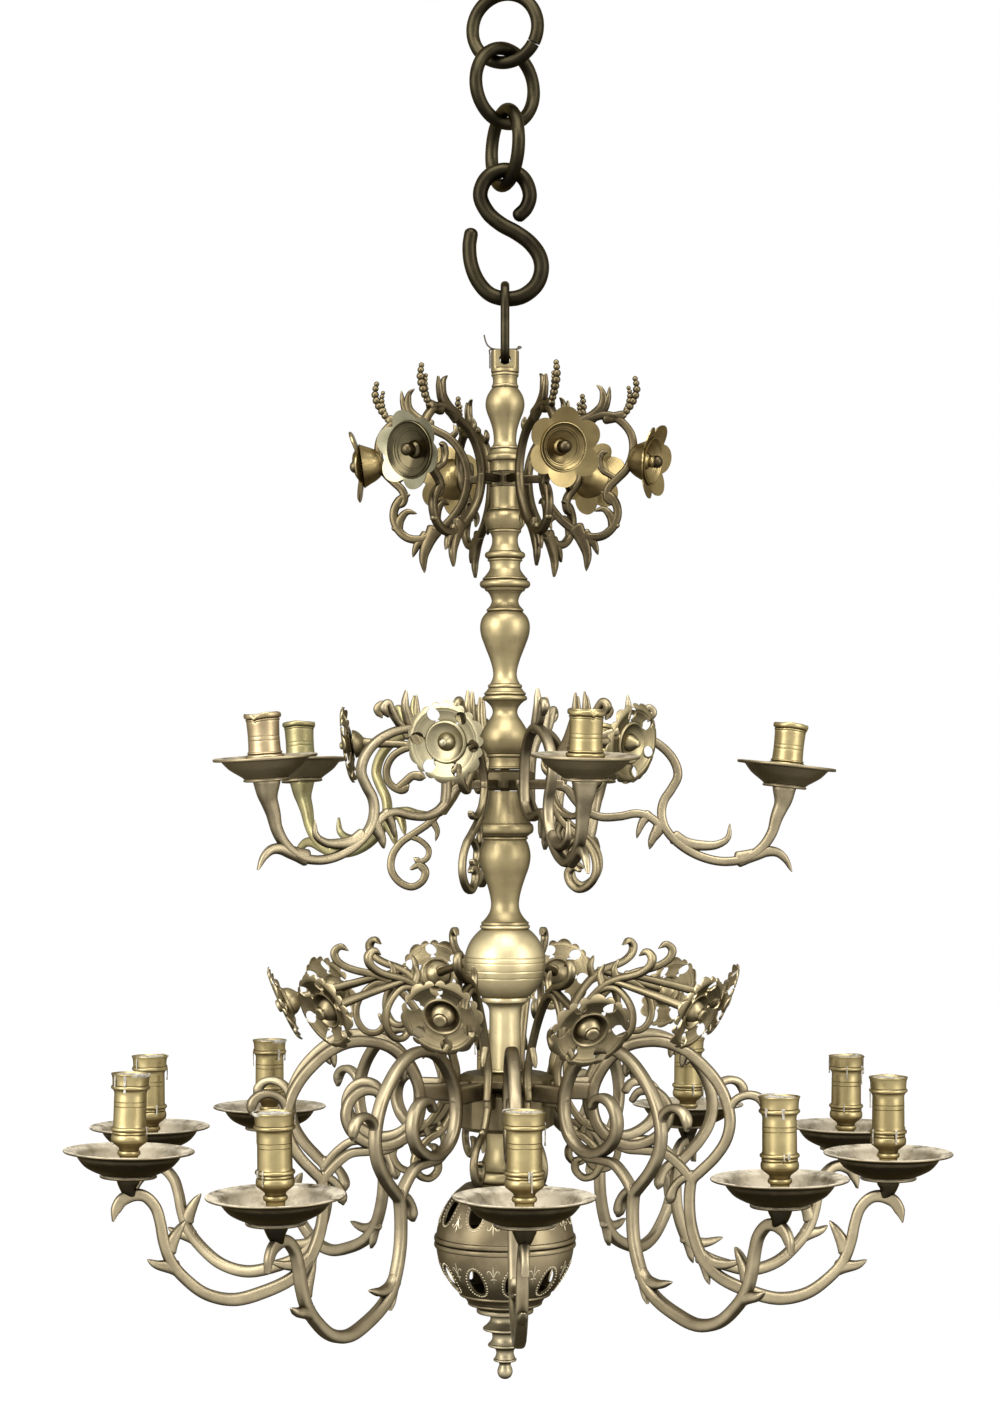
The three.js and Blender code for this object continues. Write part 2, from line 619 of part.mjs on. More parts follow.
// Middle flower branch: a rod with a rosette, upright leaf tips and a volute that hangs below.
function middleBranch() {
  const b = BRANCH_BAR;
  const depth = BRANCH_DEPTH;
  const thin = depth * 0.8;
  const tip = [[0, b], [0.8, b], [1, b * 0.35]];
  return union([
    tenon(MIDDLE_COLLAR_RADIUS, { ...FLOWER_TENON, height: MIDDLE_TENON.height }),
    bar([
      [MIDDLE_FLOWER.reach + ROD_GRIP.middle, MIDDLE_FLOWER.rise - ROD_DIP],
      [146, 47], [102, 45], [73, 25], [64, -4], [85, -39], [120, -62], [131, -92],
      [106, -113], [92, -95], [108, -92],
    ], { half: tip, depth, steps: 13 }),
    bar([[104, 46], [134, 24], [134, -6], [113, -6]], { half: tip, depth: thin, steps: 4 }),
    bar([[112, -60], [94, -66], [88, -78], [99, -88]], { half: tip, depth: thin, steps: 3 }),
    leaf([[84, 36], [100, 70], [102, 103]], b, thin),
    leaf([[98, 44], [119, 76], [116, 105]], b, thin),
    placedFlower(MIDDLE_FLOWER, piercedFlower),
  ]);
}

// Lower flower branch: a tall S stem with a hooked leaf, a spiral loop, a rod to its rosette and a
// volute below. Its lug, between two heights, is cast into one ring of the lower collar.
function lowerBranch([lugFoot, lugTop]) {
  const b = BRANCH_BAR;
  const depth = BRANCH_DEPTH;
  const thin = depth * 0.8;
  return union([
    block(LOWER_COLLAR_RADIUS - LUG_ROOT, FLOWER_TENON.end + LUG_GRIP, FLOWER_TENON.width, lugFoot, lugTop),
    bar([
      [107, -74], [97, -86], [122, -90], [124, -61], [92, -42], [69, -10], [74, 28], [97, 85],
      [126, 121], [160, 136], [190, 148], [186, 164], [175, 158],
    ], { half: [[0, b * 0.35], [0.15, b], [0.85, b], [1, b * 0.35]], depth, steps: 14 }),
    bar([[118, 110], [147, 122], [168, 98], [156, 67], [141, 82]], {
      half: [[0, b], [0.8, b], [1, b * 0.35]], depth: thin, steps: 4,
    }),
    bar([[142, 130], [LOWER_FLOWER.reach + ROD_GRIP.lower, LOWER_FLOWER.rise - ROD_DIP]], {
      half: [[0, b * 0.9], [1, b * 1.3]], depth: thin, steps: 1,
    }),
    placedFlower(LOWER_FLOWER, piercedFlower),
  ]);
}

// Assembly

function aimed(azimuth) {
  const group = new THREE.Group();
  group.rotation.z = turn(azimuth - 90);
  return group;
}

// A pan stands on its arm's cone and leans with it.
function standingPan(name, geometry, pan, tenonEnd, droop) {
  const mesh = named(name, geometry, cupBrass);
  const [[reach, rise]] = sagged([[pan.reach, pan.rim]], tenonEnd, droop);
  mesh.position.set(reach, 0, rise);
  mesh.rotation.y = turn(droop + pan.lean);
  return mesh;
}

const chandelier = new THREE.Group();

const topLink = named("chain_link_top", link(TOP_LINK_RADIUS), darkBrass);
topLink.rotation.z = turn(TOP_LINK_TURN);
topLink.position.z = topLinkCentre;
const middleLink = named("chain_link_middle", link(LINK_RADIUS), darkBrass);
middleLink.rotation.z = turn(MIDDLE_LINK_TURN);
middleLink.position.z = middleLinkCentre;
const lowLink = named("chain_link_lower", link(LINK_RADIUS), darkBrass);
lowLink.rotation.z = turn(LOW_LINK_TURN);
lowLink.position.z = lowLinkCentre;
const sHook = named("s_hook", geometryOf(hook()), darkBrass);
sHook.position.z = hookFoot;
const loop = named("suspension_loop", geometryOf(wroughtLoop()), darkBrass);
loop.rotation.z = turn(90);
loop.position.z = loopFoot;
chandelier.add(topLink, middleLink, lowLink, sHook, loop);

const shaft = new THREE.Group();
shaft.position.z = headTop;
chandelier.add(shaft);

// The sections are threaded on the tie rod one under the other, and each records where its top lies.
let depth = 0;
function thread(name, made, length, material = turnedBrass) {
  const mesh = named(name, geometryOf(made), material);
  mesh.position.z = -depth;
  shaft.add(mesh);
  const top = depth;
  depth += length + SEAT_GAP;
  return top;
}

thread("head_baluster", headBaluster(), HEAD_LENGTH);
const topCollarTop = thread(
  "top_collar",
  collar(TOP_COLLAR_RADIUS, TOP_COLLAR_LENGTH, TOP_BRANCHES, TOP_BRANCH_START, TOP_COLLAR_CHAMFER),
  TOP_COLLAR_LENGTH,
);
thread("upper_baluster", upperBaluster(), UPPER_BALUSTER_LENGTH);
thread("vase_baluster", vaseBaluster(), VASE_BALUSTER_LENGTH);
const middleSeats = MIDDLE_ARM_TURNS.length * 2;
const middleCollarTop = thread(
  "middle_collar",
  collar(
    MIDDLE_COLLAR_RADIUS, MIDDLE_COLLAR_LENGTH, middleSeats, MIDDLE_START, MIDDLE_COLLAR_CHAMFER,
  ),
  MIDDLE_COLLAR_LENGTH,
);
thread("pear_baluster", pearBaluster(), PEAR_BALUSTER_LENGTH);
thread("ball_baluster", ballBaluster(), BALL_BALUSTER_LENGTH);

// The lower collar is two rings that meet at the middle of the arms' tenons. Each is one casting with
// every other flower branch. `first` is the number of its first branch, and `middle` the height of the
// tenons' middle from the top of the ring.
function floweredRing(length, [upper, lower], first, lug, middle) {
  const ring = collar(LOWER_COLLAR_RADIUS, length, LOWER_FLOWERS * 2, LOWER_START, upper, lower);
  const branch = lowerBranch(lug);
  const branches = Array.from({ length: LOWER_FLOWERS / 2 }, (_, i) => {
    const azimuth = LOWER_FLOWER_START + (360 / LOWER_FLOWERS) * (2 * i + first);
    return branch.rotate([0, 0, azimuth - 90]).translate([0, 0, middle]);
  });
  return union([ring, ...branches]);
}

const topRing = floweredRing(
  LOWER_COLLAR_TOP_LENGTH, [LOWER_COLLAR_CHAMFER, PLAIN_END], 0,
  [SEAT_GAP, UPPER_LUG_TOP], -LOWER_TENON_DEPTH,
);
const baseRing = floweredRing(
  LOWER_COLLAR_BASE_LENGTH, [PLAIN_END, LOWER_COLLAR_CHAMFER], 1,
  [-FLOWER_TENON.height, -SEAT_GAP], LOWER_COLLAR_TOP_LENGTH + SEAT_GAP - LOWER_TENON_DEPTH,
);
const lowerCollarTop = thread(
  "lower_collar_top_with_flowers", topRing, LOWER_COLLAR_TOP_LENGTH, flowerBrass,
);
thread("lower_collar_base_with_flowers", baseRing, LOWER_COLLAR_BASE_LENGTH, flowerBrass);
thread("lower_spindle", lowerSpindle(), LOWER_SPINDLE_LENGTH);

const equator = depth + GLOBE_HALF_HEIGHT;
for (const [name, sign] of [["globe_upper", 1], ["globe_lower", -1]]) {
  const half = named(name, geometryOf(globeHalf(sign)), turnedBrass);
  half.position.z = -equator;
  shaft.add(half);
}
depth = equator + GLOBE_LOWER_HEIGHT + SEAT_GAP;
const finialTop = thread("finial", finial(), FINIAL_LENGTH);

const rodTop = HEAD_LENGTH - ROD_IN_HEAD;
const rodLength = finialTop + ROD_IN_FINIAL - rodTop;
const rod = new THREE.CylinderGeometry(ROD_RADIUS, ROD_RADIUS, rodLength, 10).rotateX(Math.PI / 2);
const tieRod = named("tie_rod", rod, iron);
tieRod.position.z = -rodTop - rodLength / 2;
shaft.add(tieRod);

// Tiers
const topTier = new THREE.Group();
topTier.position.z = -topCollarTop - TOP_COLLAR_LENGTH / 2;
const topBranchShape = geometryOf(topBranch());
for (let i = 0; i < TOP_BRANCHES; i++) {
  const seat = aimed(TOP_BRANCH_START + (360 / TOP_BRANCHES) * i);
  seat.add(named(`top_flower_branch_${i + 1}`, topBranchShape, flowerBrass));
  topTier.add(seat);
}

// One arm and its pan for each entry of `turns`, evenly round the collar but for that entry.
function addArms(tier, kind, start, turns, droops, arm, pan, panShape, tenonEnd) {
  turns.forEach((off, i) => {
    const seat = aimed(start + (360 / turns.length) * i + off);
    seat.add(named(`${kind}_arm_${i + 1}`, geometryOf(arm(off, droops[i])), armBrass));
    seat.add(standingPan(`${kind}_pan_${i + 1}`, panShape, pan, tenonEnd, droops[i]));
    tier.add(seat);
  });
}

const middleTier = new THREE.Group();
middleTier.position.z = -middleCollarTop - MIDDLE_TENON_DEPTH;
addArms(
  middleTier, "middle", MIDDLE_START, MIDDLE_ARM_TURNS, MIDDLE_ARM_DROOPS,
  middleArm, MIDDLE_PAN, geometryOf(middlePan()), MIDDLE_TENON.end,
);
const middleBranchShape = geometryOf(middleBranch());
MIDDLE_ARM_TURNS.forEach((_, i) => {
  const seat = aimed(MIDDLE_FLOWER_START + (360 / MIDDLE_ARM_TURNS.length) * i);
  seat.add(named(`middle_flower_branch_${i + 1}`, middleBranchShape, flowerBrass));
  middleTier.add(seat);
});

const lowerTier = new THREE.Group();
lowerTier.position.z = -lowerCollarTop - LOWER_TENON_DEPTH;
addArms(
  lowerTier, "lower", LOWER_START, LOWER_ARM_TURNS, LOWER_ARM_DROOPS,
  lowerArm, LOWER_PAN, geometryOf(lowerPan()), LOWER_TENON.end,
);
shaft.add(topTier, middleTier, lowerTier);

export default chandelier;
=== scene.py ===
# %% [markdown]
# # A three-tier brass chandelier
# The metal part is already measured and packed as a frame of plain solids. This lesson dresses it: each
# cast, turned or wrought piece is worked out as a surface, in millimetres on the same axis, and then
# scaled to metres. The crown of the top link is the origin and everything hangs below it.

# %% Load the frame and keep its box
import math
import bpy
import numpy as np
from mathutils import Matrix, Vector


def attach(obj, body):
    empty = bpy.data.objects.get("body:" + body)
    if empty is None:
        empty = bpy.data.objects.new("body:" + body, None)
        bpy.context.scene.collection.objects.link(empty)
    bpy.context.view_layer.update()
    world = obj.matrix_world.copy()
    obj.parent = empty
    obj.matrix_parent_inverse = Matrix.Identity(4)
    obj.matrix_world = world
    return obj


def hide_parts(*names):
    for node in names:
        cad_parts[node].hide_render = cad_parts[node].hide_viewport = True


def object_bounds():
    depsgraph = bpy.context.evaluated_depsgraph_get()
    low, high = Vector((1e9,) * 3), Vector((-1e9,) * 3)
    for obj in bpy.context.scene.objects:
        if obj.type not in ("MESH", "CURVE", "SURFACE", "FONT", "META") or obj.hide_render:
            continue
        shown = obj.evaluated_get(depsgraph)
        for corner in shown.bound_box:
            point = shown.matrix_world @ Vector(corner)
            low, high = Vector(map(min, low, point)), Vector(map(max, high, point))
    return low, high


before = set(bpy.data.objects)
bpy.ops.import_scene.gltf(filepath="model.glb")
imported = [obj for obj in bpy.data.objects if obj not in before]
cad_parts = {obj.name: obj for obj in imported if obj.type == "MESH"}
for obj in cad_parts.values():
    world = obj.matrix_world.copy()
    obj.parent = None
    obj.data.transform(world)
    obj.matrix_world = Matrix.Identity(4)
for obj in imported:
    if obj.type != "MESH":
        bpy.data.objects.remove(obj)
cad_low, cad_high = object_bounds()
print("frame box, metres:", [round(v, 3) for v in cad_low], [round(v, 3) for v in cad_high])

# %% [markdown]
# ## Where the photographer stood
# The camera stands level with the middle tier, 3.09 m from the shaft, and looks straight at it. The
# frame is tall, so the lens is given for the long side. The small shifts put the shaft a little right
# of the middle and the horizon below it, as a shift lens does, which keeps the shaft upright.

# %% Camera
IMAGE_WIDTH, IMAGE_HEIGHT = 1000, 1412
FOCAL_PIXELS = 2690
AXIS_COLUMN, HORIZON_ROW = 505, 790
CAMERA_DISTANCE, CAMERA_HEIGHT = 3.0935, -0.90735
SENSOR = 36.0

camera_data = bpy.data.cameras.new("camera")
camera_data.sensor_fit = "AUTO"
camera_data.sensor_width = SENSOR
camera_data.lens = FOCAL_PIXELS / IMAGE_HEIGHT * SENSOR
camera_data.shift_x = (IMAGE_WIDTH / 2 - AXIS_COLUMN) / IMAGE_HEIGHT
camera_data.shift_y = (HORIZON_ROW - IMAGE_HEIGHT / 2) / IMAGE_HEIGHT
camera = bpy.data.objects.new("camera", camera_data)
camera.location = (0, -CAMERA_DISTANCE, CAMERA_HEIGHT)
camera.rotation_euler = (math.pi / 2, 0, 0)
bpy.context.scene.collection.objects.link(camera)
bpy.context.scene.camera = camera
bpy.context.scene.view_settings.view_transform = "Standard"
print("lens", round(camera_data.lens, 2), "mm")

# %% [markdown]
# ## Light
# Polished brass shows what stands round it more than its own colour. Two tall soft boxes stand left and
# right of the camera, because the photograph has two bright stripes on every turned bulge. The room is
# white to the eye and in reflections, and gives a plain level of light.

# %% World and soft boxes
def add_node(tree, kind, inputs=None, **settings):
    """Adds a node, sets its properties, then joins or fills its inputs by name or number."""
    node = tree.nodes.new(kind)
    for key, value in settings.items():
        setattr(node, key, value)
    for key, value in (inputs or {}).items():
        if isinstance(value, bpy.types.NodeSocket):
            tree.links.new(value, node.inputs[key])
        else:
            node.inputs[key].default_value = value
    return node


def maths(tree, operation, first, second):
    """Two numbers put together."""
    return add_node(tree, "ShaderNodeMath", {0: first, 1: second}, operation=operation).outputs[0]


def ramp(tree, value, low, high, bottom=0.0, top=1.0):
    """A value between low and high stretched to bottom and top, and held there beyond them."""
    return add_node(tree, "ShaderNodeMapRange", {
        "Value": value, "From Min": low, "From Max": high, "To Min": bottom, "To Max": top}).outputs[0]


def seen_directly(tree):
    """1 for a ray that the eye, a mirror or a glass follows, and 0 for the light that surfaces scatter."""
    rays = add_node(tree, "ShaderNodeLightPath").outputs
    either = maths(tree, "MAXIMUM", rays["Is Camera Ray"], rays["Is Glossy Ray"])
    return maths(tree, "MAXIMUM", either, rays["Is Transmission Ray"])


def soft_box(name, place, size, power):
    """A flat lamp of size (width, height) that faces the middle of the shaft."""
    lamp = bpy.data.lights.new(name, "AREA")
    lamp.shape = "RECTANGLE"
    lamp.size, lamp.size_y = size
    lamp.energy = power
    holder = bpy.data.objects.new(name, lamp)
    holder.location = place
    holder.rotation_euler = (SHAFT_MIDDLE - Vector(place)).to_track_quat("-Z", "Y").to_euler()
    bpy.context.scene.collection.objects.link(holder)


ROOM_LIGHT = 0.24  # what the room sheds on surfaces, where the eye sees 1
SHAFT_MIDDLE = Vector((0, 0, -0.95))
WHITE = (1, 1, 1, 1)
world = bpy.data.worlds.new("white_room")
bpy.context.scene.world = world
world.use_nodes = True
room = world.node_tree
room.nodes.clear()
room_glow = ramp(room, seen_directly(room), 0, 1, ROOM_LIGHT, 1)
room_colour = add_node(room, "ShaderNodeBackground", {"Color": WHITE, "Strength": room_glow})
add_node(room, "ShaderNodeOutputWorld", {"Surface": room_colour.outputs[0]})
soft_box("soft_box_left", (-2.2, -2.0, 0.0), (1.9, 2.9), 76)
soft_box("soft_box_right", (2.4, -1.75, -0.25), (1.3, 2.6), 42)
soft_box("soft_box_top", (0.0, -1.1, 1.3), (2.0, 1.6), 46)
print("lamps:", len(bpy.data.lights))

# %% [markdown]
# ## Floor
# A pale floor far below the chandelier takes its soft shadow. It glows a little, and more so further
# away, until it is as white as the room and its edge can't be seen.

# %% Floor
FLOOR_DROP, FLOOR_HALF = 0.45, 9
FLOOR_GREY, FLOOR_LIFT, FLOOR_ROUGHNESS = 0.8, 0.6, 0.9
FADE_START, FADE_END = 2.0, 5.5
floor_z = cad_low.z - FLOOR_DROP
floor_corners = [(x * FLOOR_HALF, y * FLOOR_HALF, floor_z) for x, y in ((-1, -1), (1, -1), (1, 1), (-1, 1))]
floor_mesh = bpy.data.meshes.new("floor")
floor_mesh.from_pydata(floor_corners, [], [(0, 1, 2, 3)])
floor = bpy.data.objects.new("floor", floor_mesh)
bpy.context.scene.collection.objects.link(floor)
floor_paint = bpy.data.materials.new("floor_paint")
floor_paint.use_nodes = True
tree = floor_paint.node_tree
paint = tree.nodes["Principled BSDF"].inputs
paint["Roughness"].default_value = FLOOR_ROUGHNESS
paint["Emission Color"].default_value = WHITE
place = add_node(tree, "ShaderNodeTexCoord").outputs["Object"]
level = add_node(tree, "ShaderNodeVectorMath", {0: place, 1: (1, 1, 0)}, operation="MULTIPLY").outputs[0]
away = add_node(tree, "ShaderNodeVectorMath", {0: level}, operation="LENGTH").outputs["Value"]
seen = seen_directly(tree)
near_glow = maths(tree, "MULTIPLY", seen, FLOOR_LIFT)
far_glow = ramp(tree, seen, 0, 1, ROOM_LIGHT, 1)
tree.links.new(ramp(tree, away, FADE_START, FADE_END, near_glow, far_glow), paint["Emission Strength"])
tree.links.new(ramp(tree, away, FADE_START, FADE_END, FLOOR_GREY, 0), paint["Base Color"])
floor_mesh.materials.append(floor_paint)
print("floor at", round(floor_z, 3), "m")

# %% [markdown]
# ## Smooth lines
# Every piece below is made of a few kinds of surface: a profile turned about the shaft, a bar whose
# section is carried along a smooth line, and a sheet over a grid of angles and radii. A curve object could
# smooth a line as well. Here the points are wanted as numbers, at even steps, so they are worked out as
# one whole array.

# %% Smooth lines
SAMPLES = 24  # points worked out between two given ones, before the line is walked


def full_turn(count):
    """The angles of a full turn in even steps."""
    return np.arange(count) / count * 2 * math.pi


def smooth_line(points, step, closed=False):
    """A centripetal Catmull-Rom curve through the points: between two points it blends the straight lines
    through their neighbours, with knots spaced by the square root of each distance. It is then walked
    at even steps."""
    p = np.asarray(points, float)
    if closed:
        p = np.vstack([p[-1], p, p[:2]])
    else:
        p = np.vstack([2 * p[0] - p[1], p, 2 * p[-1] - p[-2]])
    a, b, c, d = (p[i:len(p) - 3 + i, None] for i in range(4))
    gap = [np.sqrt(np.linalg.norm(v - u, axis=2, keepdims=True)) for u, v in ((a, b), (b, c), (c, d))]
    t1 = gap[0]
    t2 = t1 + gap[1]
    t3 = t2 + gap[2]
    t = t1 + (t2 - t1) * np.linspace(0, 1, SAMPLES, endpoint=False)[None, :, None]
    ab = ((t1 - t) * a + t * b) / t1
    bc = ((t2 - t) * b + (t - t1) * c) / (t2 - t1)
    cd = ((t3 - t) * c + (t - t2) * d) / (t3 - t2)
    abc = ((t2 - t) * ab + t * bc) / t2
    bcd = ((t3 - t) * bc + (t - t1) * cd) / (t3 - t1)
    curve = (((t2 - t) * abc + (t - t1) * bcd) / (t2 - t1)).reshape(-1, p.shape[1])
    curve = np.vstack([curve, p[-2]])
    length = np.concatenate([[0], np.cumsum(np.linalg.norm(np.diff(curve, axis=0), axis=1))])
    count = max(3, int(round(length[-1] / step)) + 1)
    places = np.linspace(0, length[-1], count)
    return np.column_stack([np.interp(places, length, curve[:, i]) for i in range(curve.shape[1])])


hexagon = np.column_stack([np.cos(full_turn(6)), np.sin(full_turn(6))])
print("a ring of radius 10 mm through 6 points, walked at 1 mm:", len(smooth_line(10 * hexagon, 1.0, True)))

# %% [markdown]
# ## Grids and skins
# A part is a triple: its points, its four-sided faces and its triangles. The faces of a grid follow from
# its rows and columns alone, so they are counted out rather than drawn one by one. The volume that a
# closed skin encloses tells whether its faces look outwards.

# %% Grids and skins
def grid_faces(rows, columns, wrap_rows=False, wrap_columns=True):
    """Four-sided faces of a grid of points, row after row; a wrapped side meets the first one again."""
    r = np.arange(rows if wrap_rows else rows - 1)[:, None]
    c = np.arange(columns if wrap_columns else columns - 1)[None, :]
    down, right = (r + 1) % rows, (c + 1) % columns
    corners = [r * columns + c, r * columns + right, down * columns + right, down * columns + c]
    return np.stack([np.broadcast_to(k, (len(r), c.shape[1])) for k in corners], axis=2).reshape(-1, 4)


NO_TRIANGLES = np.zeros((0, 3), int)


def outward(part):
    """Turns a closed part's faces round if the volume that they enclose comes out negative."""
    points, quads, triangles = part
    corners = points[np.vstack([quads[:, :3], quads[:, [0, 2, 3]], triangles])]
    volume = np.einsum("ij,ij->", corners[:, 0], np.cross(corners[:, 1], corners[:, 2]))
    return (points, quads[:, ::-1], triangles[:, ::-1]) if volume < 0 else part


def skin(rings, wrap_rows=False):
    """A closed skin over rings of points: faces between the rings, and a fan of triangles on each end."""
    rows, columns = rings.shape[:2]
    points = rings.reshape(-1, 3)
    quads = grid_faces(rows, columns, wrap_rows)
    if wrap_rows:
        return outward((points, quads, NO_TRIANGLES))
    ends = np.vstack([rings[0].mean(0), rings[-1].mean(0)])
    around = np.arange(columns)
    after = np.roll(around, -1)
    first = np.column_stack([after, around, np.full(columns, len(points))])
    last = np.column_stack([around, after, np.full(columns, len(points))]) + (rows - 1) * columns
    last[:, 2] = len(points) + 1
    return outward((np.vstack([points, ends]), quads, np.vstack([first, last])))


def joined(parts):
    """Several parts as one: their faces' numbers move on by the points before them."""
    shifts = np.cumsum([0] + [len(p[0]) for p in parts[:-1]])
    return tuple(np.vstack([p[k] + (s if k else 0) for p, s in zip(parts, shifts)]) for k in range(3))


def sides_of(quads, triangles):
    """Each side of each face, as a pair of point numbers."""
    return np.vstack([quads[:, [k, (k + 1) % 4]] for k in range(4)]
                     + [triangles[:, [k, (k + 1) % 3]] for k in range(3)])


print("a grid of 3 by 4 points, wrapped round, has", len(grid_faces(3, 4)), "faces")

# %% [markdown]
# ## Bars
# A cast arm is a flat bar that was bent in the pattern-maker's drawing, so its line lies in one plane and
# its section is a softened rectangle. A curve with a bevel could draw it, but one taper would thin its
# width and its depth alike. So the section is carried along the line ring by ring.

# %% Bars
NOSE = np.array([0.3, 0.6, 0.85]) * math.pi / 2  # the rings of a rounded end, as angles
NOSE_SHARE = 0.8  # how far a rounded end stands out, as a share of the bar's half width


def amounts(pairs, t):
    """A width that varies along a bar: straight between (place, value) pairs, or one number for all of it."""
    if np.isscalar(pairs):
        return np.full(len(t), float(pairs))
    places, values = zip(*pairs)
    return np.interp(t, places, values)


def rounded_section(sides, squareness):
    """Points of a superellipse: cosine and sine raised to 2 / squareness, so 2 is a circle and more than 2
    is a bar with softened edges."""
    angle = (np.arange(sides) + 0.5) / sides * 2 * math.pi
    circle = np.stack([np.cos(angle), np.sin(angle)])
    return np.sign(circle) * np.abs(circle) ** (2 / squareness)


def with_noses(line, ahead, wide, deep):
    """Adds three shrinking rings at each end: their places follow a sine and their widths a cosine."""
    ends = []
    for end, sign in ((0, -1), (-1, 1)):
        out = sign * NOSE_SHARE * min(wide[end], deep[end]) * np.sin(NOSE)[:, None]
        shrink = np.cos(NOSE)
        ends.append((line[end] + ahead[end] * out, np.repeat(ahead[end][None], 3, 0), wide[end] * shrink,
                     deep[end] * shrink))
    first = [values[::-1] for values in ends[0]]
    return [np.concatenate(values) for values in zip(first, (line, ahead, wide, deep), ends[1])]


def bar(points, half, depth=None, step=2.4, sides=12, squareness=3.2, closed=False):
    """A bar bent in the plane of its arm: the section is carried along the smooth line through the (reach,
    rise) points, `half` wide to each side in the plane and `depth` to each side across it. The ends are
    rounded off."""
    line = smooth_line(points, step, closed)
    if closed:
        line = line[:-1]
        ahead = np.roll(line, -1, 0) - np.roll(line, 1, 0)
    else:
        ahead = np.gradient(line, axis=0)
    ahead /= np.linalg.norm(ahead, axis=1, keepdims=True)
    count = len(line)
    t = np.arange(count) / (count if closed else count - 1)
    wide = amounts(half, t)
    deep = wide if depth is None else amounts(depth, t)
    if not closed:
        line, ahead, wide, deep = with_noses(line, ahead, wide, deep)
    u, v = rounded_section(sides, squareness)
    reach = line[:, 0, None] - ahead[:, 1, None] * wide[:, None] * u
    rise = line[:, 1, None] + ahead[:, 0, None] * wide[:, None] * u
    return skin(np.stack([reach, deep[:, None] * v, rise], axis=2), closed)


print("a bar of 100 mm has", len(bar([(0, 0), (100, 0)], 5)[0]), "points")

# %% [markdown]
# ## Turned pieces
# A spun or turned piece is a profile carried round an axis. The screw modifier does that too, but it can't
# flatten the sides of a drum, so the radius is worked out for each angle.

# %% Turned pieces
CORNER_CUT = 0.12  # the share of a drum's corner that is worn away


def from_nearest(angle, pitch):
    """The angle from the nearest of several marks that stand a pitch apart, the first at zero."""
    return (angle + pitch / 2) % pitch - pitch / 2


def run(points, step=1.4):
    """A smooth stretch of a turned profile through (height, radius) points."""
    return smooth_line(points, step)


def bead(top, bottom, base, crest, count=9):
    """A half-round moulding: the radius rises from the base to the crest as a half ellipse does."""
    angle = np.linspace(0, math.pi, count)
    height = (top + bottom) / 2 + (top - bottom) / 2 * np.cos(angle)
    return np.column_stack([height, base + (crest - base) * np.sin(angle)])


def turned(runs, segments=72, flats=0, first_flat=0.0):
    """A profile of (height, radius) runs turned about the axis. With `flats` the section is a polygon whose
    flats lie at that radius: the radius grows by one over the cosine of the angle from the nearest flat,
    and is held a little short of the corners."""
    profile = np.vstack(runs)
    angle = full_turn(segments)
    shape = np.ones(segments)
    if flats:
        pitch = 2 * math.pi / flats
        corner = 1 + (1 / math.cos(pitch / 2) - 1) * (1 - CORNER_CUT)
        shape = np.minimum(1 / np.cos(from_nearest(angle - first_flat, pitch)), corner)
    x = profile[:, 1, None] * shape * np.sin(angle)
    y = -profile[:, 1, None] * shape * np.cos(angle)
    z = np.broadcast_to(profile[:, 0, None], x.shape)
    return skin(np.stack([x, y, z], axis=2))


print("a drum of ten flats has", len(turned([[(0, 10), (5, 10)]], flats=10)[0]), "points")

# %% [markdown]
# ## Places
# Arms and branches are drawn once, flat: distance from the shaft, distance across, and height. A rotation
# on each object could place the copies. Here the points themselves are turned, so that every piece rests
# in its place on the frame with no rotation of its own.

# %% Places
def aimed(part, azimuth):
    """A part drawn as (reach, across, rise) stands out from the shaft at an azimuth, which is counted from
    the front towards the right."""
    reach, across, rise = part[0].T
    s, c = math.sin(math.radians(azimuth)), math.cos(math.radians(azimuth))
    points = np.column_stack([reach * s + across * c, -reach * c + across * s, rise])
    return outward((points, part[1], part[2]))


def tilted(part, degrees, reach, rise):
    """Turns a part about a line across its arm's plane through (reach, rise); it leans outwards and down."""
    a = math.radians(degrees)
    x, z = part[0][:, 0] - reach, part[0][:, 2] - rise
    points = np.column_stack([reach + x * math.cos(a) + z * math.sin(a), part[0][:, 1],
                              rise + z * math.cos(a) - x * math.sin(a)])
    return points, part[1], part[2]


def moved(part, reach, across, rise):
    """A part shifted by so much."""
    return part[0] + np.array([reach, across, rise]), part[1], part[2]


quarter_turned = aimed(bar([(0, 0), (100, 0)], 5), 90)[0]
print("a bar of 100 mm, aimed to the right, reaches x", round(float(quarter_turned[:, 0].max()), 1))

# %% [markdown]
# ## Wear and painted light follow the shape
# Hands and cloths polish what stands proud, and dirt stays in the hollows. So each piece carries a
# number at every point, called edge: one half on a flat, more on a ridge and less in a groove. The
# metal reads it: ridges get a pale colour, partly polish and partly painted highlight, and grooves a
# dark one, partly dirt and partly painted shade.

# %% Put a part into Blender
MM = 0.001  # a millimetre in metres
WEAR_REACH = 1.3  # millimetres: how much of a bend makes a full edge
FLATTEST, CLOSEST = 1e-12, 1e-4  # least normal and least squared distance, so that nothing divides by zero


